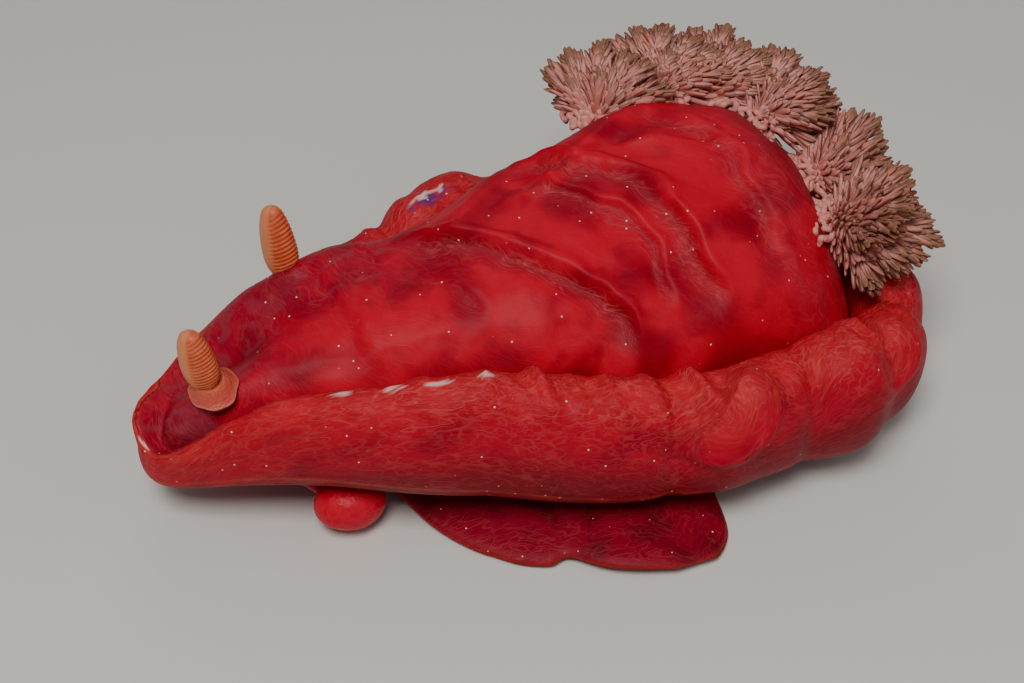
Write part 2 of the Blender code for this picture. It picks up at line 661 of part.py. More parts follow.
def frond(root, way, sideways, flat_way, length, draw):
    """One frond of a gill: a tapered vane whose two edges are parted into fingers."""
    bm = bmesh.new()

    def both_faces(along, across, thickness):
        sink = -FROND_DROOP * length * (along / length) ** 2 - abs(across) * 0.10
        spot = root + way * along + sideways * across + flat_way * sink
        half = flat_way * thickness / 2
        return [bm.verts.new(spot + half), bm.verts.new(spot - half)]

    steps = [length * (FROND_BARE + (1 - FROND_BARE) * k / LOBE_PAIRS) for k in range(LOBE_PAIRS + 1)]
    thick = [FROND_THICKNESS * (1 - 0.45 * at / length) for at in steps]
    axis = [both_faces(at, 0, t) for at, t in zip(steps, thick)]
    foot = both_faces(0, 0, FROND_THICKNESS)
    rims = []
    for side in (-1, 1):
        rim = [both_faces(0, side * FROND_HALF_WIDTH, FROND_THICKNESS * 0.8)]
        valleys = [both_faces(at, side * FROND_HALF_WIDTH * (1 - 0.3 * at / length), t * 0.8)
                   for at, t in zip(steps, thick)]
        rim.append(valleys[0])
        for k in range(LOBE_PAIRS):
            middle = (steps[k] + steps[k + 1]) / 2
            reach = LOBE_LENGTH * (0.55 + 0.5 * (k + 1) / LOBE_PAIRS) * draw.uniform(0.88, 1.12)
            wide = (steps[k + 1] - steps[k]) * 0.26
            tip_at = middle + reach * LOBE_SWEEP
            out = side * (FROND_HALF_WIDTH + reach * 0.8)
            rim.append(both_faces(tip_at - wide * 0.6, out + side * wide * 0.5, LOBE_TIP_THICKNESS))
            rim.append(both_faces(tip_at + wide, out - side * wide * 0.7, LOBE_TIP_THICKNESS))
            rim.append(valleys[k + 1])
        rims.append(rim)
    end = both_faces(length + LOBE_LENGTH, 0, LOBE_TIP_THICKNESS)
    for rim, side in zip(rims, (-1, 1)):
        cells = [(foot, axis[0], rim[1], rim[0])]
        for k in range(LOBE_PAIRS):
            low, tip_low, tip_high, high = rim[1 + 3 * k:5 + 3 * k]
            cells += [(axis[k], axis[k + 1], high, low), (low, high, tip_high, tip_low)]
        cells = [(a, b, c) for a, b, c, d in cells] + [(a, c, d) for a, b, c, d in cells]
        cells.append((axis[-1], end, rim[-1]))
        for cell in cells:
            for face in (0, 1):
                bm.faces.new([corner[face] for corner in cell])
        edge = rim + [end]
        for a, b in zip(edge, edge[1:]):
            bm.faces.new((a[0], b[0], b[1]))
            bm.faces.new((a[0], b[1], a[1]))
        bm.faces.new((foot[0], rim[0][0], rim[0][1], foot[1]))
    return bm


def add_gill(number, seat, length, lean, draw, skin):
    """One gill: a stem in its socket, and a fan of lobed fronds."""
    spot, normal, outward = seat
    up = (normal * GILL_ALONG_NORMAL + outward * GILL_OUTWARD + Vector((0, 0, lean))).normalized()
    sideways = outward.cross(Vector((0, 0, 1)))
    sideways = (sideways - up * sideways.dot(up)).normalized()
    flat_way = sideways.cross(up).normalized()
    if flat_way.z < 0:
        flat_way.negate()
    top = spot + normal * GILL_STEM_RISE
    path = [spot - normal * GILL_STEM_ROOT, spot, spot + normal * GILL_STEM_RISE * 0.6, top + up * 0.002]
    radii = (GILL_STEM_RADIUS * 0.9, GILL_STEM_RADIUS, GILL_STEM_RADIUS * 0.95, GILL_STEM_RADIUS * 0.7)
    stem = linked(tube(path, radii, GILL_STEM_SIDES, flat_way=sideways), f"gill_{number}", skin)
    pieces = []
    for k in range(GILL_FRONDS):
        share = 2 * k / (GILL_FRONDS - 1) - 1
        angle = GILL_SPREAD * share + draw.uniform(-0.05, 0.05)
        tilt = FROND_TILT if k % 2 else -FROND_TILT
        way = (up * math.cos(angle) + sideways * math.sin(angle) + flat_way * tilt).normalized()
        across = flat_way.cross(way).normalized()
        over = way.cross(across).normalized()
        if over.dot(flat_way) < 0:
            over.negate()
        long = length * (1 - 0.22 * abs(share)) * draw.uniform(0.95, 1.05) - LOBE_LENGTH
        pieces.append(linked(frond(top - way * 0.0012, way, across, over, long, draw), "frond", None))
    joined(stem, pieces, "UNION")


def add_gills(ring, backs, skin):
    """The six gills, standing in sockets round the rear of the back."""
    draw = random.Random(GILL_SEED)
    cutters = {name: [] for name in backs}
    for number, (place, side, share, length, lean) in enumerate(GILLS, 1):
        spot, normal = surface_at(ring, place, side, share)
        i = round(place * EDGE_STATIONS)
        station = ring[i if side < 0 else (len(ring) - i) % len(ring)]
        outward = Vector((*(station.crease - station.ridge).normalized(), 0))
        add_gill(number, (spot, normal, outward), length, lean, draw, skin)
        path = [spot - normal * (GILL_STEM_ROOT + TOUCH_GAP), spot, spot + normal * 0.004]
        wide = GILL_STEM_RADIUS + TOUCH_GAP
        hole = tube(path, (wide * 0.92, wide, wide), GILL_STEM_SIDES, flat_way=outward.cross(normal))
        socket = linked(hole, "socket", None)
        past_cut = spot.x - BODY_CUTS_X[-1]
        if past_cut < GILL_STEM_RADIUS * 2:
            cutters["back_middle"].append(socket)
        if past_cut > -GILL_STEM_RADIUS * 2:
            twin = socket.copy() if past_cut < GILL_STEM_RADIUS * 2 else socket
            cutters["back_rear"].append(twin)
    for name, pieces in cutters.items():
        if pieces:
            joined(backs[name], pieces, "DIFFERENCE")


def centre_over_origin():
    """Moves the whole animal so that the middle of its box stands over the origin."""
    animal = [obj for obj in bpy.data.objects if obj.type == "MESH"]
    corners = [vertex.co for obj in animal for vertex in obj.data.vertices]
    middle = [(min(c[i] for c in corners) + max(c[i] for c in corners)) / 2 for i in (0, 1)]
    for obj in animal:
        obj.data.transform(Matrix.Translation((-middle[0], -middle[1], 0)))


def surface_finish(name, colour, roughness):
    """A plain finish of one colour."""
    made = bpy.data.materials.new(name)
    made.use_nodes = True
    shader = made.node_tree.nodes["Principled BSDF"]
    shader.inputs["Base Color"].default_value = (*colour, 1)
    shader.inputs["Roughness"].default_value = roughness
    made.diffuse_color = (*colour, 1)
    return made


def main():
    for obj in list(bpy.data.objects):
        bpy.data.objects.remove(obj)
    back_skin = surface_finish("back_skin", (0.50, 0.008, 0.018), 0.40)
    mantle_skin = surface_finish("mantle_skin", (0.55, 0.03, 0.03), 0.45)
    foot_skin = surface_finish("foot_skin", (0.60, 0.006, 0.02), 0.40)
    horn = surface_finish("rhinophore", (0.55, 0.14, 0.05), 0.45)
    gill_skin = surface_finish("gill", (0.55, 0.20, 0.16), 0.50)
    ring, half_length = edge_ring()
    body = add_lengths(lambda: body_mesh(ring), BODY_NAMES, BODY_CUTS_X, back_skin)
    add_lengths(lambda: foot_mesh(ring), FOOT_NAMES, FOOT_CUTS_X, foot_skin)
    add_roll(ring, half_length, mantle_skin)
    add_rhinophores(ring, body["head"], mantle_skin, horn)
    add_mouth_parts(body["head"], foot_skin)
    add_gills(ring, {name: body[name] for name in ("back_middle", "back_rear")}, gill_skin)
    centre_over_origin()


main()
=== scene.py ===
# %% [markdown]
# # Spanish dancer sea slug, life size
# A Spanish dancer is the largest of the nudibranchs, about as long as a hand and a half. It crawls on a
# flat foot, with the wide edge of its mantle rolled up on both sides, and carries six gills in a ring at
# the rear of its back. The solids give its size and pose. This script gives it a skin, fine gills and
# colours. The solids are loaded first, and their box is kept.

import math
import random

import bmesh
import bpy
import numpy as np
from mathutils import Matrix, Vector, noise


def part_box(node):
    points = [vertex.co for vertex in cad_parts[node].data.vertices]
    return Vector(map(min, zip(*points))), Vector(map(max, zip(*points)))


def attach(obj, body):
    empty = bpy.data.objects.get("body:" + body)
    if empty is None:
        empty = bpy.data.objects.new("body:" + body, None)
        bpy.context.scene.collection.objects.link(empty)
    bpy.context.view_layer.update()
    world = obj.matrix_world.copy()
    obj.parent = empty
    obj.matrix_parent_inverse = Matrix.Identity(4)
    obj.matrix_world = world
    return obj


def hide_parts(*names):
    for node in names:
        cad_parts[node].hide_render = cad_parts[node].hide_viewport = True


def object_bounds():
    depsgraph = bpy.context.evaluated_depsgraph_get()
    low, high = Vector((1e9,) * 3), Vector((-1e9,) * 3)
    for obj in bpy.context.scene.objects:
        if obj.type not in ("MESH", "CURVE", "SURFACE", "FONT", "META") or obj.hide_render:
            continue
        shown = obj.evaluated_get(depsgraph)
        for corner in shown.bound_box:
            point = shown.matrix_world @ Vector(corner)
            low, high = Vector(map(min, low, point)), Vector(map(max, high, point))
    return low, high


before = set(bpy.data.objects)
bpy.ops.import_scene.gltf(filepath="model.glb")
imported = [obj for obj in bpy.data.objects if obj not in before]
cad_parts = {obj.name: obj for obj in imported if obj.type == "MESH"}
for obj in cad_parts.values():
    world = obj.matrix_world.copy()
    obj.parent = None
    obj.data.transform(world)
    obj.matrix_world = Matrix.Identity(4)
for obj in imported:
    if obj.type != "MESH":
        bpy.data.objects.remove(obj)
solid_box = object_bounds()
MM = 0.001
print("box of the solids, mm:", [[round(c / MM, 1) for c in corner] for corner in solid_box])

# %% [markdown]
# # Plan of the straight body
# The body is worked out as if it lay straight, and its head is turned last, which is far simpler than
# drawing a bent animal. These are the driving sizes of the solids: the outline of the rolled edge in plan,
# the inner line that the back rises to, and the height and width of the roll from the tail (place 0) to
# the middle of the head's front (place 1). Lengths are in mm here, and in metres once the head is turned.
# A smooth curve goes through each row of stations.

# %% Driving sizes
TURN_START_X = -20
TURN_RADIUS = 100
TURN_ANGLE = math.radians(45)
BODY_CUT_X = 40
BODY_CUT_GAP = 0.3
PLAN_SHIFT_Y = -0.34

TAIL_CENTRE_X = 66
TAIL_LENGTH = 64.5
TAIL_SQUARENESS = 2.9
HEAD_CENTRE_X = -80
HEAD_LENGTH = 18
HEAD_SQUARENESS = 3.4
HALF_WIDTH = ((-80, 36.5), (-65, 36.5), (-50, 38.8), (-22, 50.5), (13, 65.5), (45, 72), (66, 72.5))
RIGHT_SHARE = ((-98, 0.6), (-90, 0.74), (-78, 0.92), (-55, 1.22), (-30, 1.13), (0, 1.02), (40, 1.06))
RIDGE_TAIL_X = 74
RIDGE_HEAD_X = -82
RIDGE_Y = ((-82, 0), (-50, 4), (0, 12), (40, 18), (74, 10))

ROLL_WIDTH = ((0, 19), (0.2, 24), (0.36, 26), (0.6, 25), (0.72, 19), (0.8, 12), (0.87, 7), (0.93, 4.5),
              (1, 4))
ROLL_FOOT_Z = ((0, 13), (0.2, 9.5), (0.36, 12), (0.6, 15), (0.7, 20), (0.76, 22.5), (0.82, 22), (0.88, 18),
               (1, 19.5))
LEFT_CREST_Z = ((0, 44), (0.2, 50), (0.3, 55), (0.36, 56), (0.45, 53), (0.52, 56), (0.6, 59.5), (0.65, 61.5),
                (0.7, 60.5), (0.76, 57.5), (0.8, 53), (0.83, 46), (0.86, 35.5), (0.885, 31), (0.92, 35),
                (1, 34))
RIGHT_CREST_Z = ((0, 44), (0.2, 41), (0.36, 37), (0.46, 38), (0.5, 42), (0.545, 50), (0.61, 53), (0.66, 47),
                 (0.75, 45), (0.82, 40), (0.92, 34), (1, 34))
CREASE_Z = ((0, 30), (0.36, 34), (0.6, 34), (0.72, 32), (0.8, 29.5), (0.87, 28), (0.94, 29), (1, 30.5))
RIGHT_CREASE_Z = ((0, 30), (0.36, 34), (0.55, 36), (0.62, 43), (0.68, 43), (0.75, 42), (0.82, 37.5),
                  (0.92, 32), (1, 30.5))
ROLL_LEAN = ((0, 0), (0.8, 0), (0.92, 0.35), (1, 0.3))
# Place, growth and reach of each swelling of the roll.
LEFT_SWELLINGS = ((0.11, 0.1, 0.03), (0.29, 0.12, 0.028), (0.2, 0.05, 0.04), (0.245, -0.08, 0.02),
                  (0.345, -0.1, 0.012), (0.43, 0.06, 0.02), (0.485, -0.08, 0.012), (0.16, -0.1, 0.012))
RIGHT_SWELLINGS = ((0.15, 0.08, 0.03), (0.33, 0.08, 0.03), (0.24, -0.08, 0.015), (0.42, -0.08, 0.012),
                   (0.56, 0.1, 0.03), (0.64, -0.1, 0.012))

BACK_HEIGHT = ((-96, 27), (-88, 28), (-80, 32), (-70, 42), (-58, 53), (-45, 60), (-28, 65), (-8, 73), (6, 73),
               (30, 81), (46, 80), (62, 84), (78, 81))
LEFT_ROUNDNESS = 2.3
RIGHT_ROUNDNESS = 3.4
TAIL_ROUNDNESS = 2.6
HEAD_ROUNDNESS = 3.0
WALL_ABOVE_ROLL_FOOT = 3.5
NECK_SHARE = ((0, 0.8), (0.4, 0.66), (0.58, 0.62), (0.7, 0.42), (0.85, 0.32), (1, 0.25))
NECK_Z = 10
FOOT_REACH = ((0, 1.02), (0.12, 0.8), (0.27, 0.7), (0.37, 0.74), (0.43, 1), (0.48, 1.13), (0.53, 1.14),
              (0.565, 1.11), (0.587, 1.04), (0.61, 1.09), (0.65, 1.04), (0.68, 0.82), (0.705, 0.54),
              (0.735, 0.4), (0.8, 0.38), (1, 0.4))
FOOT_EDGE_THICKNESS = 2.2
FOOT_RUFFLES = 9
FOOT_RUFFLE_HEIGHT = 1.6
FOOT_LIFT = 2.2
SOLE_SHARE = 0.80

print("inner line from x", RIDGE_HEAD_X, "to", RIDGE_TAIL_X, "mm")

# %% Curves and the turned head
CRUMB = 1e-9


def smooth(share):
    """Eases shares from 0 to 1."""
    share = np.clip(share, 0.0, 1.0)
    return share * share * (3 - 2 * share)


def rising(value, start, over):
    """Goes from 0 at the start to 1, over a stretch."""
    return smooth((value - start) / over)


def falling(value, end, over):
    """Goes from 1 to 0 at the end, over a stretch before it."""
    return smooth((end - value) / over)


def spread(distance, reach):
    """A soft hump from 1 at nought to nothing past its reach."""
    return np.exp(-(distance / reach) ** 2)


def unit(ways):
    """Ways made 1 long."""
    return ways / np.maximum(np.linalg.norm(ways, axis=-1, keepdims=True), CRUMB)


def running(points, axis=0):
    """The length run along a path, or along many, at each point."""
    steps = np.linalg.norm(np.diff(points, axis=axis), axis=-1)
    return np.insert(np.cumsum(steps, axis=axis), 0, 0.0, axis=axis)


def neighbours(count):
    """The numbers of the points before and after each of a row of points."""
    number = np.arange(count)
    return np.maximum(number - 1, 0), np.minimum(number + 1, count - 1)


def between(start, end, leaving, reaching, u):
    """A smooth curve from one value to the next by the slopes at both, u going from 0 to 1."""
    return (start * (1 + 2 * u) * (1 - u) ** 2 + leaving * u * (1 - u) ** 2
            + end * u * u * (3 - 2 * u) + reaching * u * u * (u - 1))


def profile(stations, at):
    """The values at many places, on a smooth curve through the stations."""
    places, values = np.array(stations, float).T
    before, after = neighbours(len(places))
    slopes = (values[after] - values[before]) / (places[after] - places[before])
    at = np.clip(at, places[0], places[-1])
    i = np.clip(np.searchsorted(places, at, side="right") - 1, 0, len(places) - 2)
    run = places[i + 1] - places[i]
    return between(values[i], values[i + 1], run * slopes[i], run * slopes[i + 1], (at - places[i]) / run)


PLAN_SHIFT_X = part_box("foot_middle")[1][0] / MM - (BODY_CUT_X - BODY_CUT_GAP / 2)


def turned(points):
    """Points of the straight body in mm, moved to where the turned head takes them, in metres."""
    x, y, z = np.moveaxis(np.asarray(points, float), -1, 0)
    ahead = np.maximum(TURN_START_X - x, 0.0)
    angle = np.minimum(ahead / TURN_RADIUS, TURN_ANGLE)
    further = np.maximum(0.0, ahead - TURN_ANGLE * TURN_RADIUS)
    middle_x = np.maximum(TURN_START_X, x) - TURN_RADIUS * np.sin(angle) - further * np.cos(angle)
    middle_y = TURN_RADIUS * (1 - np.cos(angle)) + further * np.sin(angle)
    return np.stack((middle_x + y * np.sin(angle) + PLAN_SHIFT_X,
                     middle_y + y * np.cos(angle) + PLAN_SHIFT_Y, z), axis=-1) * MM


print("plan moved by, mm:", round(PLAN_SHIFT_X, 2), PLAN_SHIFT_Y)

# %% [markdown]
# # The rolled edge in plan
# The outline is a rounded tail, two long sides and a rounded head. It is walked from the tail along the
# animal's left side to the head's front and back along its right side, in many even columns. Every column
# carries its point on the outline, the way straight outward, and the spot on the inner line that the back
# rises to.

# %% Columns round the body
COLUMNS = 460
OUTLINE_STEPS = 200
SOLID_STATIONS = 46


def left_outline():
    """The outline of the left side, from the tail's end to the head's front, and its running length."""
    corner = np.linspace(0, math.pi / 2, OUTLINE_STEPS, endpoint=False)
    tail = np.stack((TAIL_CENTRE_X + TAIL_LENGTH * np.cos(corner) ** (2 / TAIL_SQUARENESS),
                     -HALF_WIDTH[-1][1] * np.sin(corner) ** (2 / TAIL_SQUARENESS)), axis=1)
    side_x = np.linspace(TAIL_CENTRE_X, HEAD_CENTRE_X, OUTLINE_STEPS, endpoint=False)
    side = np.stack((side_x, -profile(HALF_WIDTH, side_x)), axis=1)
    corner = np.linspace(math.pi / 2, 0, OUTLINE_STEPS + 1)
    head = np.stack((HEAD_CENTRE_X - HEAD_LENGTH * np.abs(np.cos(corner)) ** (2 / HEAD_SQUARENESS),
                     -HALF_WIDTH[0][1] * np.abs(np.sin(corner)) ** (2 / HEAD_SQUARENESS)), axis=1)
    path = np.concatenate((tail, side, head))
    return path, running(path)


OUTLINE, OUTLINE_RUN = left_outline()
HALF_LENGTH = OUTLINE_RUN[-1]


def outline_at(around):
    """Points on the outline; around goes from 0 at the tail, past 1 at the head's front, to 2."""
    around = np.mod(around, 2.0)
    right = around > 1
    place = np.where(right, 2 - around, around)
    x = np.interp(place * HALF_LENGTH, OUTLINE_RUN, OUTLINE[:, 0])
    y = np.interp(place * HALF_LENGTH, OUTLINE_RUN, OUTLINE[:, 1])
    return np.stack((x, np.where(right, -y * profile(RIGHT_SHARE, x), y)), axis=-1)


BODY_MIDDLE = np.array((20, 0))
TAIL_BLEND = 0.15
HEAD_BLEND_FROM = 0.6
HEAD_BLEND = 0.3


class Columns:
    """Places round the body, with what the body's shape needs to know at each."""

    def __init__(self, around):
        self.around = np.mod(np.asarray(around, float), 2.0)
        self.right = self.around > 1
        self.place = np.where(self.right, 2 - self.around, self.around)
        self.point = outline_at(self.around)
        along = outline_at(self.around + 1 / SOLID_STATIONS) - outline_at(self.around - 1 / SOLID_STATIONS)
        outward = unit(np.stack((along[..., 1], -along[..., 0]), axis=-1))
        away = np.sum(outward * (self.point - BODY_MIDDLE), axis=-1, keepdims=True)
        self.outward = outward * np.sign(away)
        ridge_x = RIDGE_TAIL_X + (RIDGE_HEAD_X - RIDGE_TAIL_X) * self.place
        self.ridge = np.stack((ridge_x, profile(RIDGE_Y, ridge_x)), axis=-1)
        self.width = profile(ROLL_WIDTH, self.place)
        self.crease = self.point - self.outward * self.width[..., None]
        self.crease_z = self.by_side(RIGHT_CREASE_Z, CREASE_Z)
        beside = np.where(self.right, RIGHT_ROUNDNESS, LEFT_ROUNDNESS)
        roundness = TAIL_ROUNDNESS + (beside - TAIL_ROUNDNESS) * smooth(self.place / TAIL_BLEND)
        at_head = rising(self.place, HEAD_BLEND_FROM, HEAD_BLEND)
        self.roundness = roundness + (HEAD_ROUNDNESS - roundness) * at_head

    def by_side(self, right_stations, left_stations):
        """A profile of its own for each side."""
        return np.where(self.right, profile(right_stations, self.place), profile(left_stations, self.place))

    def grown(self):
        """How much bigger or smaller the roll is than its plain size."""
        size = np.ones_like(self.place)
        for right, swellings in ((False, LEFT_SWELLINGS), (True, RIGHT_SWELLINGS)):
            for at, more, reach in swellings:
                size += np.where(self.right == right, more * spread(self.place - at, reach), 0.0)
        return size


print("outline of one side, mm:", round(HALF_LENGTH, 1))

# %% [markdown]
# # One section of the body
# A section runs from the inner line over the back to the crease, up over the roll and down its outer
# side, in under the roll to the neck, out over the foot to its thin edge, and back along the flat sole.
# Every column has the same rows, so the whole skin is one sheet without a seam. Rows are spread evenly
# along each stretch of the section.

# %% Section of the body
BACK_ROWS = 66
ROLL_ROWS = 84
UNDER_ROWS = 12
FOOT_ROWS = 22
FINE_STEPS = 240
ROLL_SQUARENESS = 0.9
SWELL_UP = 0.7
SWELL_OUT = 2


def evenly(points, rows):
    """Moves a fine path's points to even steps along it, for many columns at once."""
    run = running(points, 1)
    steady = np.arange(run.shape[1]) * CRUMB
    made = np.empty((len(points), rows, points.shape[2]))
    for k, path in enumerate(points):
        want = np.linspace(0, run[k, -1], rows)
        made[k] = np.stack([np.interp(want, run[k] + steady, values) for values in path.T], axis=1)
    return made


def in_plan(plan, z):
    """Plan points and heights as points in space."""
    return np.concatenate((plan, z[..., None]), axis=-1)


def back_path(columns, shares):
    """Points of the back, shares being how far out they lie from the inner line to the crease."""
    spot = columns.ridge[:, None] + (columns.crease - columns.ridge)[:, None] * shares[None, :, None]
    top = profile(BACK_HEIGHT, columns.ridge[:, 0])[:, None]
    low = columns.crease_z[:, None]
    curve = (1 - shares[None, :] ** columns.roundness[:, None]) ** 0.5
    return in_plan(spot, low + (top - low) * curve)


def roll_path(columns, angles):
    """Points of the roll, the angle going from its inner side over its crest to its foot."""
    foot = profile(ROLL_FOOT_Z, columns.place)
    crest = columns.by_side(RIGHT_CREST_Z, LEFT_CREST_Z)
    more = columns.grown() - 1
    half_high = ((crest - foot) / 2 * (1 + more * SWELL_UP))[:, None]
    waves = np.stack((np.cos(angles), np.sin(angles)))
    across, up = np.sign(waves) * np.abs(waves) ** ROLL_SQUARENESS
    swollen = np.where(across < 0, across, across * (1 + more[:, None] * SWELL_OUT))
    out = (columns.width / 2)[:, None] * (1 + swollen)
    z = foot[:, None] + half_high * (1 + up)
    z = np.where(across < 0, np.maximum(z, columns.crease_z[:, None]), z)
    lean = np.maximum(0.0, z - columns.crease_z[:, None]) * profile(ROLL_LEAN, columns.place)[:, None]
    spot = columns.crease[:, None] + columns.outward[:, None] * (out + lean)[..., None]
    return in_plan(spot, z)


def through(stops):
    """A smooth path through a few stops, each given for every column."""
    stops = np.stack(stops, axis=1)
    last = stops.shape[1] - 1
    at = np.linspace(0, 1, FINE_STEPS) * last
    i = np.minimum(at.astype(int), last - 1)
    before, after = neighbours(last + 1)
    slope = (stops[:, after] - stops[:, before]) / 2
    return between(stops[:, i], stops[:, i + 1], slope[:, i], slope[:, i + 1], (at - i)[None, :, None])


print("rows of back, roll, underside and foot:", BACK_ROWS, ROLL_ROWS, UNDER_ROWS, FOOT_ROWS)

# %% Grid of the skin
NECK_OVERLAP = 0.02
RUFFLE_START = 0.8
FOOT_HALF_Z = 6.2


def section(columns):
    """The four stretches of the section: back, roll, underside and foot."""
    share = np.sin(np.linspace(0, math.pi / 2, FINE_STEPS)) ** 0.9
    back = evenly(back_path(columns, share), BACK_ROWS)
    roll = evenly(roll_path(columns, np.linspace(math.pi, -math.pi / 2, FINE_STEPS)), ROLL_ROWS)
    ridge, crease = columns.ridge, columns.crease
    neck_share = profile(NECK_SHARE, columns.place)[:, None]
    low = profile(ROLL_FOOT_Z, columns.place) + WALL_ABOVE_ROLL_FOOT
    half_in = ridge + (crease - ridge) * (1 + neck_share) / 2
    neck_z = np.full(len(low), NECK_Z)
    under = through((roll[:, -1], in_plan(crease, low), in_plan(half_in, (low + NECK_Z) / 2 + 1),
                     in_plan(ridge + (crease - ridge) * neck_share, neck_z)))
    neck_in = ridge + (crease - ridge) * (neck_share - NECK_OVERLAP)
    edge = ridge + (columns.point - ridge) * profile(FOOT_REACH, columns.place)[:, None]
    ruffle = np.sin(math.pi * FOOT_RUFFLES * columns.around + RUFFLE_START * np.where(columns.right, 1, -1))
    lift = FOOT_LIFT + FOOT_RUFFLE_HEIGHT * ruffle
    flat = neck_in + (edge - neck_in) * SOLE_SHARE
    foot = through((in_plan(neck_in, neck_z), in_plan((neck_in + edge) / 2, FOOT_HALF_Z + lift * 0.4),
                    in_plan(edge, lift + FOOT_EDGE_THICKNESS), in_plan(edge, lift), in_plan(flat, 0 * lift)))
    return back, roll, evenly(under, UNDER_ROWS), evenly(foot, FOOT_ROWS)


columns = Columns(np.arange(COLUMNS) * 2 / COLUMNS)
back, *others = section(columns)
sole_line = in_plan(columns.ridge, np.zeros(COLUMNS))[:, None]
plain = np.concatenate((back, *(stretch[:, 1:] for stretch in others), sole_line), axis=1)
ROWS = plain.shape[1]
print("skin grid:", COLUMNS, "columns by", ROWS, "rows")

# %% [markdown]
# # Smooth head
# The far side of the head runs into the roll without a crease, and so does the thin edge at its front. There
# the skin is laid as one dome from the inner line to the crest of the roll. The two sides are then softened
# where they meet on the inner line of the front half, which takes away the keel, and so is the crease where
# it runs out.

# %% Dome of the head and soft crease
RIDGE_ROWS = 28
RIDGE_EASINGS = 160
CREASE_EASINGS = 40
DOME_CURVE = ((0.6, 3), (0.7, 2.6), (0.78, 2), (0.86, 1.7), (1, 1.5))
DOME_BULGE = ((0.6, 0), (0.68, 1), (0.74, 4), (0.8, 7), (0.86, 7), (0.92, 4), (1, 1))
DOME_RIM_RISE = ((0.6, 0), (0.7, 0.3), (0.76, 1.6), (0.82, 3), (0.88, 2.6), (0.94, 0.8), (1, 0))
DOME_SHARE = 0.97
FAR_HEAD_FROM, FAR_HEAD_OVER = 0.62, 0.08
BRIM_FROM, BRIM_OVER = 0.90, 0.06
KEEL_FROM, KEEL_OVER = 0.50, 0.12
KEEL_TO, KEEL_END = 0.965, 0.045
SOFT_CREASE_FROM, SOFT_CREASE_OVER = 0.78, 0.08
SOFT_CREASE_ROWS, MORE_ROWS_JOINED = 9, 7


def eased(points, times):
    """Softens a grid of points by its neighbours, rows first and last kept."""
    for _ in range(times):
        beside = (np.roll(points, 1, axis=0) + np.roll(points, -1, axis=0)) / 2
        along = points.copy()
        along[:, 1:-1] = (points[:, :-2] + points[:, 2:]) / 2
        points = points * 0.5 + (beside + along) * 0.25
    return points


def highest_on_roll(grid):
    """The row of every column that the roll's crest lies on."""
    return BACK_ROWS + np.argmax(grid[:, BACK_ROWS:BACK_ROWS + ROLL_ROWS, 2], axis=1)


far_head = rising(columns.place, FAR_HEAD_FROM, FAR_HEAD_OVER) * columns.right
joined_on = np.maximum(far_head, rising(columns.place, BRIM_FROM, BRIM_OVER))
for k, last in enumerate(highest_on_roll(plain)):
    spot = columns.place[k]
    step = np.linspace(0, 1, last + 1)
    top, low = plain[k, 0, 2], plain[k, last, 2] + profile(DOME_RIM_RISE, spot) * far_head[k]
    dome = plain[k, 0] * (1 - step[:, None]) + plain[k, last] * step[:, None]
    hump = np.sin(math.pi * step ** 1.3) * smooth(step / 0.55)
    dome[:, 2] = (low + (top - low) * (1 - step ** profile(DOME_CURVE, spot))
                  + profile(DOME_BULGE, spot) * far_head[k] * hump)
    plain[k, :last + 1] += (dome - plain[k, :last + 1]) * joined_on[k] * DOME_SHARE
twin = (COLUMNS - np.arange(COLUMNS)) % COLUMNS
across_ridge = np.concatenate((plain[twin, RIDGE_ROWS:0:-1], plain[:, :RIDGE_ROWS + 1]), axis=1)
for _ in range(RIDGE_EASINGS):
    beside = (across_ridge[:, :-2] + across_ridge[:, 2:]) / 2
    across_ridge[:, 1:-1] += (beside - across_ridge[:, 1:-1]) / 2
ridge_share = rising(columns.place, KEEL_FROM, KEEL_OVER) * falling(columns.place, KEEL_TO, KEEL_END)
near_ridge = plain[:, :RIDGE_ROWS + 1]
near_ridge += (across_ridge[:, RIDGE_ROWS:] - near_ridge) * ridge_share[:, None, None]
eased_share = np.maximum(joined_on, rising(columns.place, SOFT_CREASE_FROM, SOFT_CREASE_OVER))[:, None]
soft_rows = SOFT_CREASE_ROWS + MORE_ROWS_JOINED * joined_on[:, None]
at_crease = spread(np.arange(ROWS) - BACK_ROWS, soft_rows) * eased_share
plain += (eased(plain, CREASE_EASINGS) - plain) * at_crease[..., None]
print("columns joined in a dome:", int((joined_on > 0.5).sum()))

# %% [markdown]
# # Relief of the skin
# The back is crossed by soft lips of skin, where one swollen stretch ends and the next begins. Each lip is
# a route in plan: the skin rises slowly towards it and drops fast behind it. The roll has knobs and
# notches on its crest, two whorls where the edge curls round itself, and lengthwise wrinkles. All of this
# is moved in the mesh, along the skin's own normals, so that it shows from every side. Only the finest
# wrinkles are left to the finish.

# %% Noise and distances
ROUND_RADIUS = HALF_LENGTH / math.pi


def grain(points, size, seed):
    """Smooth noise from -1 to 1 at many points, size being the length of its swells on each axis, in mm."""
    shift = Vector((17.3, 5.1, 9.7)) * seed
    flat = (points / np.asarray(size)).reshape(-1, 3)
    values = [noise.noise(Vector(p) + shift) for p in flat.tolist()]
    return np.array(values).reshape(points.shape[:-1]) * 1.6


def wrinkles(points, size, seed):
    """Thin wavy ridges from 0 to 1, where smooth noise crosses nought."""
    return np.clip(1 - 3.2 * np.abs(grain(points, size, seed)), 0, 1) ** 2


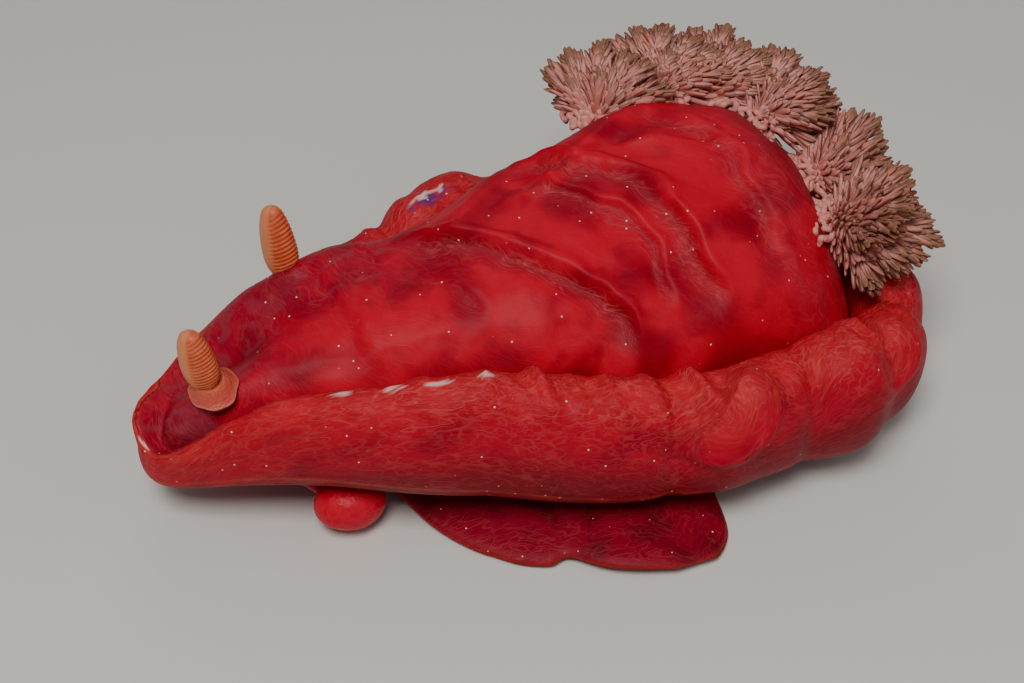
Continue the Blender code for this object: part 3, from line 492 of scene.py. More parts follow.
def off_route(spots, route):
    """How far spots in plan lie from a route, minus on its left, and how far along it they are, 0 to 1."""
    route = np.array(route)
    start = running(route)
    nearest = np.full(spots.shape[:-1], np.inf)
    side = np.zeros_like(nearest)
    along = np.zeros_like(nearest)
    for k, way in enumerate(np.diff(route, axis=0)):
        share = np.clip((spots - route[k]) @ way / (way @ way), 0, 1)
        gap = spots - (route[k] + share[..., None] * way)
        far = np.linalg.norm(gap, axis=-1)
        closer = far < nearest
        nearest = np.where(closer, far, nearest)
        side = np.where(closer, np.sign(way[0] * gap[..., 1] - way[1] * gap[..., 0]), side)
        along = np.where(closer, (start[k] + share * (start[k + 1] - start[k])) / start[-1], along)
    return nearest * side, along


def on_round(around, below):
    """Points of a round skin: places round the body, and how far below the crest of the roll they lie."""
    return np.stack((np.cos(around * math.pi) * ROUND_RADIUS, np.sin(around * math.pi) * ROUND_RADIUS, below),
                    axis=-1)


# %% Where everything lies on the skin
FIRST_FOOT_ROW = BACK_ROWS + ROLL_ROWS + UNDER_ROWS - 3

row = np.arange(ROWS)
on_back = row < BACK_ROWS
on_roll = (row >= BACK_ROWS) & (row < BACK_ROWS + ROLL_ROWS - 1)
on_foot = row >= FIRST_FOOT_ROW
every_column = np.arange(COLUMNS)
run = running(plain, 1)
crest_row = highest_on_roll(plain)
across = run - run[every_column, crest_row][:, None]
around_skin = np.broadcast_to(columns.around[:, None], (COLUMNS, ROWS))
round_skin = on_round(around_skin, across)
place = np.broadcast_to(columns.place[:, None], (COLUMNS, ROWS))
plan_spot = plain[..., :2]
print("roll measured from its crest, mm:", round(across[:, BACK_ROWS].min()), "to",
      round(across[:, BACK_ROWS + ROLL_ROWS - 2].max()))

# %% Lips across the back
# The route of each lip in plan, its height, its reach before and behind, and how pale it is.
LIPS = (
    (((-22, 22), (-13.4, 10.9), (-1.5, 1.9), (9.8, -7.9), (20.5, -18.9),
      (28.3, -29.7), (31.8, -40)), 4.4, 13, 2.0, 1.0),
    (((12, 26), (26.9, 9.7), (34.8, -0.8), (42.6, -11.3), (44.8, -23.8),
      (42.5, -35)), 2.4, 8, 1.8, 0.8),
    (((18, 36), (29.4, 26.1), (35.1, 14), (45.6, 8.4), (52.2, -4.6),
      (53.6, -15.3), (56, -26.6), (60, -39)), 3.6, 12, 2.0, 0.9),
    (((60, 36), (70, 20), (77.5, 0), (79.5, -18), (80, -36)),
     1.8, 9, 2.0, 0.7),
    (((-60, 24), (-50, 10), (-44, -4), (-40, -18)),
     1.3, 10, 3.0, 0.1),
    (((-40, 30), (-30, 14), (-16, -2), (-6, -18)), 1.0, 7, 2.2, 0.2),
)
LIP_WAVER = 1.6
DIP_BEHIND_LIP = 0.35
LIP_START = 0.18
LIP_END = 0.12

waver = grain(plain, 9, 3) * LIP_WAVER
back_rise = np.zeros((COLUMNS, ROWS))
lip_line = np.zeros((COLUMNS, ROWS))
for route, rise, before, behind, veil in LIPS:
    gap, along_lip = off_route(plan_spot, route)
    gap = gap + waver
    ends = smooth(along_lip / LIP_START) * falling(along_lip, 1, LIP_END)
    back_rise += rise * ends * np.where(gap < 0, spread(gap, before), spread(gap, behind))
    back_rise -= DIP_BEHIND_LIP * rise * ends * spread(gap - 1.6 * behind, behind)
    on_lip = np.where(gap < 0, spread(gap, before * 0.30), spread(gap, behind * 0.6))
    lip_line = np.maximum(lip_line, veil * ends * on_lip)
back_rise = np.where(on_back, back_rise, 0.0)
lip_line = np.where(on_back, lip_line, 0.0)
print("lips rise at most, mm:", round(back_rise.max(), 2))

# %% Whorls, and which way the skin runs
# The middle of each whorl, its reach and its height.
WHORLS = (((44, -67.5, 50), 12.5, 2.2), ((98.5, -61, 45.5), 10.0, 1.6))
WHORL_HEART = 5
WHORL_FLOW = (1.45, 0.55)
WHORL_TINT = (1.1, 0.5)
# Where the run of the skin turns: place, how far below the crest, by how many degrees, and the reach.
SWIRLS = ((0.395, 14, 68, 15), (0.315, 20, 40, 12), (0.345, 4, -35, 9), (0.185, 14, 55, 14),
          (0.66, 16, 16, 22))
BACK_GRAIN_WAY = np.array((0.69, -0.72))
BACK_GRAIN_SHARES = (0.6, 1.5, 0.8)

flow_around = around_skin.copy()
flow_across = across.copy()
for at, below, degrees, reach in SWIRLS:
    gap_around = (flow_around - at) * HALF_LENGTH
    gap_across = flow_across - below
    angle = math.radians(degrees) * spread(np.hypot(gap_around, gap_across), reach)
    flow_around = at + (np.cos(angle) * gap_around - np.sin(angle) * gap_across) / HALF_LENGTH
    flow_across = below + np.sin(angle) * gap_around + np.cos(angle) * gap_across
flow = on_round(flow_around, flow_across)
whorl_share = np.zeros((COLUMNS, ROWS))
whorl_relief = []
for centre, reach, rise in WHORLS:
    away = np.linalg.norm(plain - np.array(centre), axis=2)
    heart = np.unravel_index(np.argmin(away), away.shape)
    along = (around_skin - columns.around[heart[0]]) * HALF_LENGTH
    below = across - across[heart]
    kept = WHORL_HEART / np.maximum(away, WHORL_HEART)
    circling = flow[heart] + np.stack((along * kept, below * kept, away), axis=2)
    facing = (below - along) / np.maximum(np.hypot(below, along), CRUMB) / math.sqrt(2)
    arcs = rising(facing, -0.55, 0.6)
    share = falling(away / reach, *WHORL_FLOW) * on_roll * arcs
    flow += (circling - flow) * share[..., None]
    whorl_share = np.maximum(whorl_share, falling(away / reach, *WHORL_TINT) * on_roll)
    whorl_relief.append((rise, spread(away, reach * 0.8), 0.9 * arcs * spread(away - reach * 1.2, 2)))
along_back = plan_spot @ BACK_GRAIN_WAY
across_back = plan_spot @ np.array((-BACK_GRAIN_WAY[1], BACK_GRAIN_WAY[0]))
along_share, across_share, up_share = BACK_GRAIN_SHARES
lying = np.stack((along_back * along_share, plain[..., 2] * up_share, across_back * across_share + waver * 2),
                 axis=2)
inside_head = ((joined_on > 0.3) | (columns.place > 0.84))[:, None]
far_skin = inside_head & (row < crest_row[:, None]) & on_roll
flow = np.where((on_back | far_skin)[..., None], lying, flow)
print("whorls cover", round(float((whorl_share > 0.5).mean()) * 100, 2), "% of the skin")

# %% Knobs and notches of the roll
# The place of each notch, its depth and its reach; of each swell, its height and its reach.
NOTCHES = ((0.609, 2.6, 2.2), (0.543, 1.6, 1.6), (0.452, 4.6, 2.4), (0.268, 3.4, 2.6), (0.655, 1.0, 1.6),
           (0.50, 0.9, 1.5), (0.575, 0.8, 1.4), (0.70, 0.9, 2.0))
SWELLS = ((0.425, 2.2, 8), (0.30, 1.6, 10), (0.235, 1.4, 9), (0.37, 1.2, 9), (0.475, -1.8, 5))
CREST_REACH = 11
SWELLING_HEIGHT = 0.9
KNOB_HEIGHT = 1.5
KNOB_SHARPNESS = 1.5
KNOB_FLOOR = 0.08
RIDGE_HEIGHT = 0.30
WHORL_RIDGE_MORE = 0.22
NOTCH_SLANT = 0.35

knobs = np.minimum(1.0, KNOB_SHARPNESS * np.hypot(KNOB_FLOOR, grain(round_skin, (9, 9, 13), 6)))
near_crest = spread(across, CREST_REACH)
roll_rise = SWELLING_HEIGHT * grain(round_skin, (13, 13, 16), 5) * spread(across, 20)
roll_rise += KNOB_HEIGHT * knobs * near_crest
ridges = wrinkles(flow, (10, 10, 2.7), 7)
roll_rise += (RIDGE_HEIGHT + WHORL_RIDGE_MORE * whorl_share) * ridges * falling(across, 40, 12)
for at, depth, reach in NOTCHES:
    slanted = (around_skin - at) * HALF_LENGTH + NOTCH_SLANT * across
    roll_rise -= depth * spread(slanted, reach) * near_crest
for at, rise, reach in SWELLS:
    roll_rise += rise * spread((around_skin - at) * HALF_LENGTH, reach) * spread(across + 3, 10)
for rise, heart, groove in whorl_relief:
    roll_rise += rise * heart - rise * groove
roll_rise = np.where(on_roll, roll_rise, 0.0) * (0.25 + 0.75 * falling(place, 0.90, 0.12))
roll_rise *= 1 - 0.9 * joined_on[:, None] * smooth(-across / 3)
print("roll's relief, mm:", round(roll_rise.min(), 2), "to", round(roll_rise.max(), 2))

# %% Skin moved along its normals
BACK_SWELL = 0.5
BACK_GRAIN_HEIGHT = 0.12
FOOT_RIDGE_HEIGHT = 0.25
RIDGE_BLEND_ROWS = 5
STILL_ROWS = 9
FLAT_ROWS = 6


def outward_normals(points):
    """The way straight out of a grid of points, from the steps to its neighbours."""
    around = np.roll(points, -1, axis=0) - np.roll(points, 1, axis=0)
    return unit(np.cross(np.gradient(points, axis=1), around))


ways = eased(outward_normals(eased(plain, 4)), 6)
over_ridge = (1 - smooth(row / RIDGE_BLEND_ROWS))[None, :, None]
ways = unit(ways + ((ways[:, :1] + ways[twin, :1]) / 2 - ways) * over_ridge)
fine_back = BACK_SWELL * grain(plain, 16, 8) + BACK_GRAIN_HEIGHT * grain(plain, 3.5, 9)
foot_relief = FOOT_RIDGE_HEIGHT * wrinkles(round_skin, (14, 14, 2.4), 10)
relief = back_rise + roll_rise + fine_back * on_back + foot_relief * on_foot
relief[:, -STILL_ROWS:] = 0
skin_points = eased(plain, 2) + ways * relief[..., None]
skin_points[..., 2] = np.maximum(skin_points[..., 2], 0.0)
skin_points[:, -FLAT_ROWS:, 2] = plain[:, -FLAT_ROWS:, 2]
for edge_row in (0, -1):
    skin_points[:, edge_row] = (skin_points[:, edge_row] + skin_points[twin, edge_row]) / 2
low_corner, high_corner = np.array(solid_box)
skin_points = np.clip(turned(skin_points), low_corner, high_corner)
print("skin's box, mm:", (skin_points.min(axis=(0, 1)) / MM).round(1),
      (skin_points.max(axis=(0, 1)) / MM).round(1))

# %% [markdown]
# # Markings
# Colour is worked out at every vertex from where it lies: the back is glossy blood red with blurred dark
# smudges, the head is dusky mauve, the crest of the roll is scarlet and its flank crimson, and the thin
# edges are orange. Shade is painted in as well: the back darkens into the crease at the roll, the roll
# darkens down its lower side and in the clefts between the knobs of its crest, and a painted orange rim light
# runs along the roll where its near side turns away from the camera. Fine pale veins are left to the finish,
# which needs to know which way the skin runs, so every vertex also carries its way round and across the body.
# Painting an image would be another way, but it would have to be drawn by hand and would blur up close.

# %% Colours of the skin
def linear(red, green, blue):
    """A colour given as it looks on a screen, 0 to 255, as light."""
    share = np.array((red, green, blue)) / 255
    return np.where(share <= 0.04045, share / 12.92, ((share + 0.055) / 1.055) ** 2.4)


def layered(under, *layers):
    """Colours laid over others one after another, each by its own share at each point."""
    under = linear(*under) * np.ones((COLUMNS, ROWS, 1))
    for colour, share in layers:
        under = under + (linear(*colour) - under) * np.clip(share, 0, 1)[..., None]
    return under


BLOOD_RED = (198, 0, 38)
DEEP_RED = (78, 0, 18)
DUSKY_PINK = (132, 14, 42)
LIP_PINK = (150, 38, 52)
HEAD_MAUVE = (158, 54, 70)
SCARLET = (206, 24, 40)
CRIMSON = (178, 0, 38)
ROLL_SHADE = (92, 0, 18)
RIM_ORANGE = (214, 84, 50)
WHORL_PINK = (206, 40, 48)
FOOT_RED = (140, 0, 32)
PURPLE_SPOT = (88, 44, 110)
PALE_FLECK = (236, 190, 180)
# Place round the body, how far below the crest, length, width and colour of each fleck.
FLECKS = ((0.752, -0.7, 2.2, 1.1, PALE_FLECK), (0.720, -0.9, 1.9, 1.4, PALE_FLECK),
          (0.692, -0.7, 2.0, 1.3, PALE_FLECK), (0.656, -0.8, 2.1, 1.5, PALE_FLECK),
          (0.896, 0.0, 1.6, 0.7, PALE_FLECK), (1.405, -1.0, 6.0, 1.8, PURPLE_SPOT),
          (1.405, 0.9, 6.5, 0.9, PALE_FLECK))
# How far down the roll's run from its crest the painted orange rim light lies, where the near side turns away
# from the camera.
RIM_LIGHT_SHARE = 0.74
SEEN_FOOT_ROW = BACK_ROWS + ROLL_ROWS + 2

straight_x = plain[..., 0]
far_side = rising(plain[..., 1], -6, 24) * falling(straight_x, -12, 20)
headward = np.maximum(falling(straight_x, -45, 40) * 0.8, 0.8 * far_side)
mottle = grain(plain, (5, 3, 4), 23) + 0.5 * grain(plain, (12, 8, 9), 28)
rear_veil = rising(straight_x, 72, 12) * (0.45 + 0.3 * grain(plain, (5, 20, 20), 27))
# Painted shade: the back darkens towards the crease where it meets the roll, except where the head is one
# dome.
groove = spread(run[:, BACK_ROWS - 1][:, None] - run, 5) * (1 - joined_on[:, None])
tint = layered(
    BLOOD_RED,
    (DEEP_RED, 0.52 * rising(grain(plain, 15, 21), -0.15, 0.9)),
    (DEEP_RED, 0.2 * rising(grain(plain, 5, 22), 0.2, 0.6)),
    (DUSKY_PINK, headward * (0.75 + 0.3 * mottle)),
    (HEAD_MAUVE, headward * rising(mottle, 0.1, 0.7) * 0.6),
    (LIP_PINK, np.maximum(0.7 * lip_line, 0.6 * rear_veil)),
    # painted shade in the crease where the back meets the roll
    (DEEP_RED, 0.6 * groove * falling(place, 0.8, 0.1)))
shaded = rising(grain(round_skin, 11, 24), 0.1, 0.7) * rising(across, 6, 8)
last_roll_run = across[:, BACK_ROWS + ROLL_ROWS - 2][:, None]
# Painted rim light: a thin band three quarters of the way down the roll, where its near side turns away from
# the camera.
at_rim = spread(across - last_roll_run * RIM_LIGHT_SHARE, 0.7) * falling(place, 0.95, 0.05)
roll_tint = layered(
    CRIMSON,
    (SCARLET, 0.75 * spread(across - 1, 11)),
    # painted shade: the roll darker down its lower side and under it
    (ROLL_SHADE, 0.62 * rising(across, 20, 14)),
    (ROLL_SHADE, 0.35 * shaded),
    (WHORL_PINK, 0.45 * whorl_share),
    (RIM_ORANGE, 0.2 * ridges * spread(across, 16)),
    # painted shade in the clefts between the knobs of the crest
    (ROLL_SHADE, 0.25 * (1 - knobs) * spread(across - 2, 12)),
    # painted orange rim light along the roll's lower side
    (RIM_ORANGE, at_rim * (0.38 + 0.25 * grain(round_skin, 5, 29))),
    (RIM_ORANGE, 0.3 * rising(place, 0.84, 0.06) * spread(across - 0.4, 0.7)))
back_like = np.maximum(joined_on[:, None], rising(place, 0.80, 0.06)) * falling(across, 1, 3)
roll_tint += (tint - roll_tint) * back_like[..., None]
foot_edge = np.argmax(np.linalg.norm(plan_spot - columns.ridge[:, None], axis=2) * on_foot, axis=1)
from_edge = run - run[every_column, foot_edge][:, None]
foot_tint = layered(
    FOOT_RED,
    (DEEP_RED, 0.6 * smooth(grain(round_skin, 9, 25) / 0.7)),
    (RIM_ORANGE, 0.26 * spread(from_edge, 0.7)))

veins = 0.12 + 1.0 * lip_line + 0.35 * headward + 0.45 * rear_veil
roll_veins = 0.42 + 0.52 * spread(across, 13) + 0.25 * whorl_share
roll_veins += (veins - roll_veins) * back_like
parts = [on_back, row < SEEN_FOOT_ROW]
tint = np.select([part[None, :, None] for part in parts], (tint, roll_tint), foot_tint)
veins = np.clip(np.select([part[None, :] for part in parts], (veins, roll_veins), 0.3), 0, 1)
for around, below, long, wide, colour in FLECKS:
    away = np.hypot((around_skin - around) * HALF_LENGTH / long, (across - below) / wide)
    crumbs = falling(away - 0.75 * grain(plain, 1.7, 26), 1.0, 0.22) * on_roll
    tint += (linear(*colour) - tint) * 0.9 * crumbs[..., None]
    veins *= 1 - crumbs
print("tint from", tint.min().round(3), "to", tint.max().round(3))

# %% [markdown]
# # One sheet of skin
# A flat grid is bent round the body: every vertex of the grid finds its place by its column and row. The
# two ends of the grid are then merged, as are the two halves of the first and the last row, which meet on
# the inner line. The result is one closed skin.

# %% Skin
MERGE = 0.00002


def add_point_values(mesh, name, kind, values):
    """Gives a mesh a value at every vertex."""
    layer = mesh.attributes.new(name, kind, "POINT")
    field = {"FLOAT": "value", "FLOAT_VECTOR": "vector", "FLOAT_COLOR": "color"}[kind]
    layer.data.foreach_set(field, np.ascontiguousarray(values, dtype=np.float32).ravel())


def as_mesh(bm):
    """Turns the work of bmesh into a mesh."""
    mesh = bpy.data.meshes.new("made")
    bm.to_mesh(mesh)
    bm.free()
    return mesh


def spots_of(mesh):
    """The places of a mesh's vertices."""
    spots = np.empty(len(mesh.vertices) * 3)
    mesh.vertices.foreach_get("co", spots)
    return spots.reshape(-1, 3)


def flat_grid(columns_count, rows_count, mapped=False):
    """A mesh of a flat grid, and the places of its vertices across it, 0 to 1."""
    bm = bmesh.new()
    if mapped:
        bm.loops.layers.uv.new("OFBake")
    bmesh.ops.create_grid(bm, x_segments=columns_count, y_segments=rows_count, size=0.5, calc_uvs=mapped)
    mesh = as_mesh(bm)
    return mesh, spots_of(mesh)[:, :2] + 0.5


def link(name, mesh, finish):
    """Puts a finished mesh in the scene, riding on the body."""
    mesh.name = name
    obj = bpy.data.objects.new(name, mesh)
    bpy.context.scene.collection.objects.link(obj)
    mesh.shade_smooth()
    mesh.materials.append(finish)
    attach(obj, "root")
    return obj


def merged(mesh, points, reach=MERGE):
    """Moves a mesh's vertices to points, merges its doubles and turns its faces outward."""
    mesh.vertices.foreach_set("co", points.ravel())
    bm = bmesh.new()
    bm.from_mesh(mesh)
    bmesh.ops.remove_doubles(bm, verts=bm.verts, dist=reach)
    bmesh.ops.dissolve_degenerate(bm, dist=reach, edges=bm.edges)
    bmesh.ops.recalc_face_normals(bm, faces=bm.faces)
    open_edges = sum(edge.is_boundary for edge in bm.edges)
    bm.to_mesh(mesh)
    bm.free()
    return open_edges


skin_mesh, across_grid = flat_grid(COLUMNS, ROWS - 1)
grid_column, grid_row = np.rint(across_grid * (COLUMNS, ROWS - 1)).astype(int).T
picked = (grid_column % COLUMNS, grid_row)
add_point_values(skin_mesh, "tint", "FLOAT_COLOR", np.insert(tint[picked], 3, 1.0, axis=-1))
add_point_values(skin_mesh, "veins", "FLOAT", veins[picked])
add_point_values(skin_mesh, "flow", "FLOAT_VECTOR", flow[picked] * MM)
skin_open_edges = merged(skin_mesh, skin_points[picked])
print("skin:", len(skin_mesh.polygons), "faces,", skin_open_edges, "open edges")

# %% [markdown]
# # Finishes
# A finish starts from Blender's own Principled shader. One small class wraps a value of the node tree, so
# that its sums can be written as plain Python, and one method adds every other kind of node.

# %% Finish helpers
class Value:
    """One output of a node, with the sums that a finish is worked out by."""

    def __init__(self, finish, socket):
        self.finish = finish
        self.socket = socket

    def maths(self, operation, *terms):
        return self.finish.add("ShaderNodeMath", {"operation": operation}, dict(enumerate(terms)))

    def __add__(self, other):
        return self.maths("ADD", self, other)

    def __radd__(self, other):
        return self.maths("ADD", other, self)

    def __sub__(self, other):
        return self.maths("SUBTRACT", self, other)

    def __rsub__(self, other):
        return self.maths("SUBTRACT", other, self)

    def __mul__(self, other):
        return self.maths("MULTIPLY", self, other)

    def __rmul__(self, other):
        return self.maths("MULTIPLY", other, self)

    def __abs__(self):
        return self.maths("ABSOLUTE", self)

    def least(self, other):
        return self.maths("MAXIMUM", self, other)

    def ramp(self, low, high):
        """Eases from 0 at low to 1 at high."""
        return self.finish.add("ShaderNodeMapRange", {"interpolation_type": "SMOOTHSTEP", "clamp": True},
                               {"Value": self, "From Min": low, "From Max": high})


SOCKETS = {"roughness": "Roughness", "glow": "Subsurface Weight", "glow_reach": "Subsurface Scale",
           "glow_tint": "Subsurface Radius", "gloss": "Specular IOR Level"}


class Finish:
    """A material and its nodes, with the colour reached so far."""

    def __init__(self, name, **numbers):
        self.material = bpy.data.materials.new(name)
        self.material.use_nodes = True
        self.nodes = self.material.node_tree.nodes
        self.shader = self.nodes["Principled BSDF"]
        self.colour = None
        for meaning, value in numbers.items():
            self.shader.inputs[SOCKETS[meaning]].default_value = value

    def feed(self, socket, value):
        if isinstance(value, Value):
            self.material.node_tree.links.new(value.socket, socket)
        else:
            socket.default_value = value

    def add(self, kind, settings=None, inputs=None, output=0):
        """Adds a node with its settings, the values of its sockets, and gives back one of its outputs."""
        node = self.nodes.new(kind)
        for name, value in (settings or {}).items():
            setattr(node, name, value)
        for name, value in (inputs or {}).items():
            self.feed(node.inputs[name], value)
        return Value(self, node.outputs[output])

    def attribute(self, name, output="Fac"):
        return self.add("ShaderNodeAttribute", {"attribute_name": name}, output=output)

    def body(self):
        return self.add("ShaderNodeTexCoord", output="Object")

    def noise(self, vector, size, detail=2.0):
        """Smooth noise, size being the length of its swells on each axis in mm."""
        stretched = self.add("ShaderNodeMapping", {"vector_type": "POINT"},
                             {"Vector": vector, "Scale": tuple(1 / MM / length for length in size)})
        return self.add("ShaderNodeTexNoise", {}, {"Vector": stretched, "Scale": 1.0, "Detail": detail})

    def threads(self, vector, size, thin, detail=2.0):
        """Thin wavy threads, where smooth noise crosses its middle."""
        return (1 - abs(self.noise(vector, size, detail) - 0.5) * thin).least(0.0)

    def lay(self, share, colour):
        """Lays a screen colour over the colour reached so far, by a share."""
        inputs = {0: share, 6: self.colour, 7: paint(*colour)}
        self.colour = self.add("ShaderNodeMix", {"data_type": "RGBA"}, inputs, 2)

    def done(self, height=None, rise_mm=None):
        """Gives the shader its colour and its fine relief, and gives back the material."""
        self.feed(self.shader.inputs["Base Color"], self.colour)
        if height:
            inputs = {"Height": height, "Distance": rise_mm * MM, "Strength": 1.0}
            self.feed(self.shader.inputs["Normal"], self.add("ShaderNodeBump", {}, inputs))
        return self.material


def paint(red, green, blue):
    """A screen colour as a shader's colour."""
    return (*linear(red, green, blue), 1.0)


print("helpers for finishes ready")

# %% Finish of the skin
VEIN_PINK = (222, 90, 84)
SPECK_WHITE = (250, 226, 206)
VEIN_HEIGHT = 0.25
VEIN_SIZE = (5, 5, 2.5)
FINE_VEIN_SIZE = (2.5, 2.5, 1.3)
VEIN_PATCH_SIZE = (11, 11, 6)
SPECK_STEP = 3.9 * MM
SPECK_EDGE = (0.052, 0.088)
SPECK_CHANCE = (0.44, 0.46)
BLOOD_GLOW = (1.0, 0.25, 0.12)


def flesh_finish():
    """Wet skin: its tint, fine veins that follow the flow, sparse white specks and soft light under it."""
    flesh = Finish("wet_skin", roughness=0.50, glow=0.12, glow_reach=0.004, glow_tint=BLOOD_GLOW, gloss=0.14)
    way = flesh.attribute("flow", "Vector")
    wavy = flesh.threads(way, VEIN_SIZE, 16.0, 1.0)
    finer = flesh.threads(way, FINE_VEIN_SIZE, 13.0, 1.0)
    patchy = flesh.noise(way, VEIN_PATCH_SIZE).ramp(0.30, 0.66)
    veined = wavy.least(finer * 0.55) * flesh.attribute("veins") * (0.35 + 0.65 * patchy)
    cells = {"Vector": flesh.body(), "Scale": 1 / SPECK_STEP}
    dots, lot = (flesh.add("ShaderNodeTexVoronoi", {"feature": "F1"}, cells, output)
                 for output in ("Distance", "Color"))
    chance = flesh.add("ShaderNodeSeparateColor", {}, {"Color": lot})
    flesh.colour = flesh.attribute("tint", "Color")
    flesh.lay(veined * 0.5, VEIN_PINK)
    flesh.lay((1 - dots.ramp(*SPECK_EDGE)) * chance.ramp(*SPECK_CHANCE) * 0.85, SPECK_WHITE)
    return flesh.done(veined, VEIN_HEIGHT)


flesh = flesh_finish()
skin = link("skin", skin_mesh, flesh)
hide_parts("head", "back_front", "back_middle", "back_rear", "mantle_left_rear", "mantle_left_flank",
            "mantle_left_side", "mantle_left_front", "mantle_brim", "mantle_right_front", "mantle_right_side",
            "mantle_right_flank", "mantle_right_rear", "mantle_tail", "foot_front", "foot_middle",
            "foot_tail")
print("skin stands for 17 solids")

# %% [markdown]
# # Feelers on the head
# The two rhinophores smell the water. Each is a club on a short stalk, with some eighteen thin slanting
# plates on its rear half and a smooth band in front, and it stands in a fleshy sheath with a flared rim.
# Both are sheets wrapped round an axis: a grid's columns go round it and its rows along it, so that a
# formula gives every plate its slant.

# %% Sheets wrapped round an axis
SIDES = ("left", "right")


def wrapped(columns_count, rows_count, spot, reach=MERGE):
    """A closed round form: spot(angle, share) gives the points of a grid wrapped round an axis."""
    mesh, across_grid = flat_grid(columns_count, rows_count, mapped=True)
    turns, share = across_grid.T
    points, values = spot(2 * math.pi * np.where(turns > 1 - CRUMB, 0.0, turns), share)
    for name, value in values.items():
        add_point_values(mesh, name, "FLOAT", value)
    merged(mesh, points, reach)
    return mesh


def stood(radius, angle, height, base, up, ahead):
    """Points round an upright axis, stood on a base with their axis along up and angle 0 towards ahead."""
    up = unit(np.array(up))
    aside = unit(np.cross(up, ahead))
    return (base + np.outer(radius * np.cos(angle), np.cross(aside, up))
            + np.outer(radius * np.sin(angle), aside) + np.outer(height, up))


def turned_profile(stops, share):
    """Radii and heights on a smooth curve through stops of (share, radius, height in mm)."""
    shares, radii, heights = zip(*stops)
    return profile(list(zip(shares, radii)), share) * MM, profile(list(zip(shares, heights)), share) * MM


HEAD_WAY = np.array((-math.cos(TURN_ANGLE), math.sin(TURN_ANGLE), 0))
SHEATH_RISE = 6.0 * MM
SHEATH_ROOT = 4.5 * MM
SHEATH_SUNK = {"left": 0.0, "right": 2.6 * MM}
RHINOPHORE_LEAN = {"left": (-0.18, -0.08, 1), "right": (0.06, 0.06, 1)}


def sheath_seat(side):
    """Where a sheath meets the head and the way that it leans."""
    way = unit(np.array(RHINOPHORE_LEAN[side]))
    return np.mean(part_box("rhinophore_sheath_" + side), axis=0) - way * (SHEATH_RISE - SHEATH_ROOT) / 2, way


print("seats of the sheaths, mm:", [(sheath_seat(side)[0] / MM).round(1) for side in SIDES])

# %% Sheaths
SHEATH_STOPS = ((0, 5.2, -4.2), (0.12, 5.6, -2.5), (0.24, 6.5, -0.8), (0.32, 7.1, 0.4), (0.36, 7.2, 0.9),
                (0.4, 7, 1.2), (0.52, 6.2, 2), (0.66, 5.3, 3.4), (0.8, 4.5, 4.8), (0.91, 3.8, 5.4),
                (1, 2.6, 5))
SHEATH_WAVE = 0.05
SHEATH_RIM_RISE = 0.35 * MM
SHEATH_RINGS = 16
SHEATH_RING_DEPTH = 0.06 * MM


def sheath_spot(base, way):
    def spot(angle, share):
        radius, height = turned_profile(SHEATH_STOPS, share)
        at_rim = spread(share - 0.36, 0.20)
        radius *= 1 + SHEATH_WAVE * at_rim * (np.sin(3 * angle + 0.6) + 0.5 * np.sin(7 * angle))
        rings = np.sin(2 * math.pi * share * SHEATH_RINGS) * rising(share, 0.45, 0.1)
        radius += SHEATH_RING_DEPTH * rings
        height += SHEATH_RIM_RISE * at_rim * np.sin(4 * angle)
        shares = {"rim": spread(share - 0.37, 0.03), "cup": rising(share, 0.6, 0.35),
                  "flare": rising(share, 0.18, 0.15)}
        return stood(radius, angle, height, base, way, HEAD_WAY), shares
    return spot


def sheath_finish():
    horn = Finish("sheath_skin", roughness=0.42, glow=0.12, glow_reach=0.003, glow_tint=(1.0, 0.35, 0.2),
                  gloss=0.3)
    threads = horn.threads(horn.body(), (1.6, 1.6, 4), 6.0)
    horn.colour = paint(*DUSKY_PINK)
    horn.lay(horn.attribute("flare"), (204, 78, 64))
    horn.lay(horn.attribute("cup"), (208, 96, 66))
    horn.lay(threads * 0.3, (210, 96, 78))
    horn.lay(horn.attribute("rim"), (226, 136, 110))
    return horn.done(threads, 0.15)


sheath_skin = sheath_finish()
for side in SIDES:
    base, way = sheath_seat(side)
    sheath_mesh = wrapped(56, 44, sheath_spot(base - way * SHEATH_SUNK[side], way))
    sheath = link("rhinophore_sheath_of_" + side, sheath_mesh, sheath_skin)
    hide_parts("rhinophore_sheath_" + side)
print("2 sheaths")

# %% Clubs and their plates
CLUB_RISE = {"left": 24.0 * MM, "right": 29.0 * MM}
CLUB_WAY = {"left": (-0.02, -0.02, 1), "right": (0.02, 0.06, 1)}
CLUB_MOVED = {"left": (-2.6 * MM, 0.6 * MM, 0.0), "right": (0.0, 0.0, 0.0)}
CLUB_ROOT = 2 * MM
CLUB_RADIUS = 5.3 * MM
CLUB_FLATNESS = 0.80
CLUB_BEND = 1.4 * MM
CLUB_STALK = 0.20
CLUB_PLATES = 18
PLATE_DEPTH = 0.11
PLATE_SLANT = 0.085
CLUB_STOPS = ((0, 0.46), (0.08, 0.5), (0.2, 0.6), (0.28, 0.86), (0.38, 1.02), (0.5, 1.06), (0.64, 1),
              (0.78, 0.88), (0.9, 0.68), (0.96, 0.46), (1, 0.02))


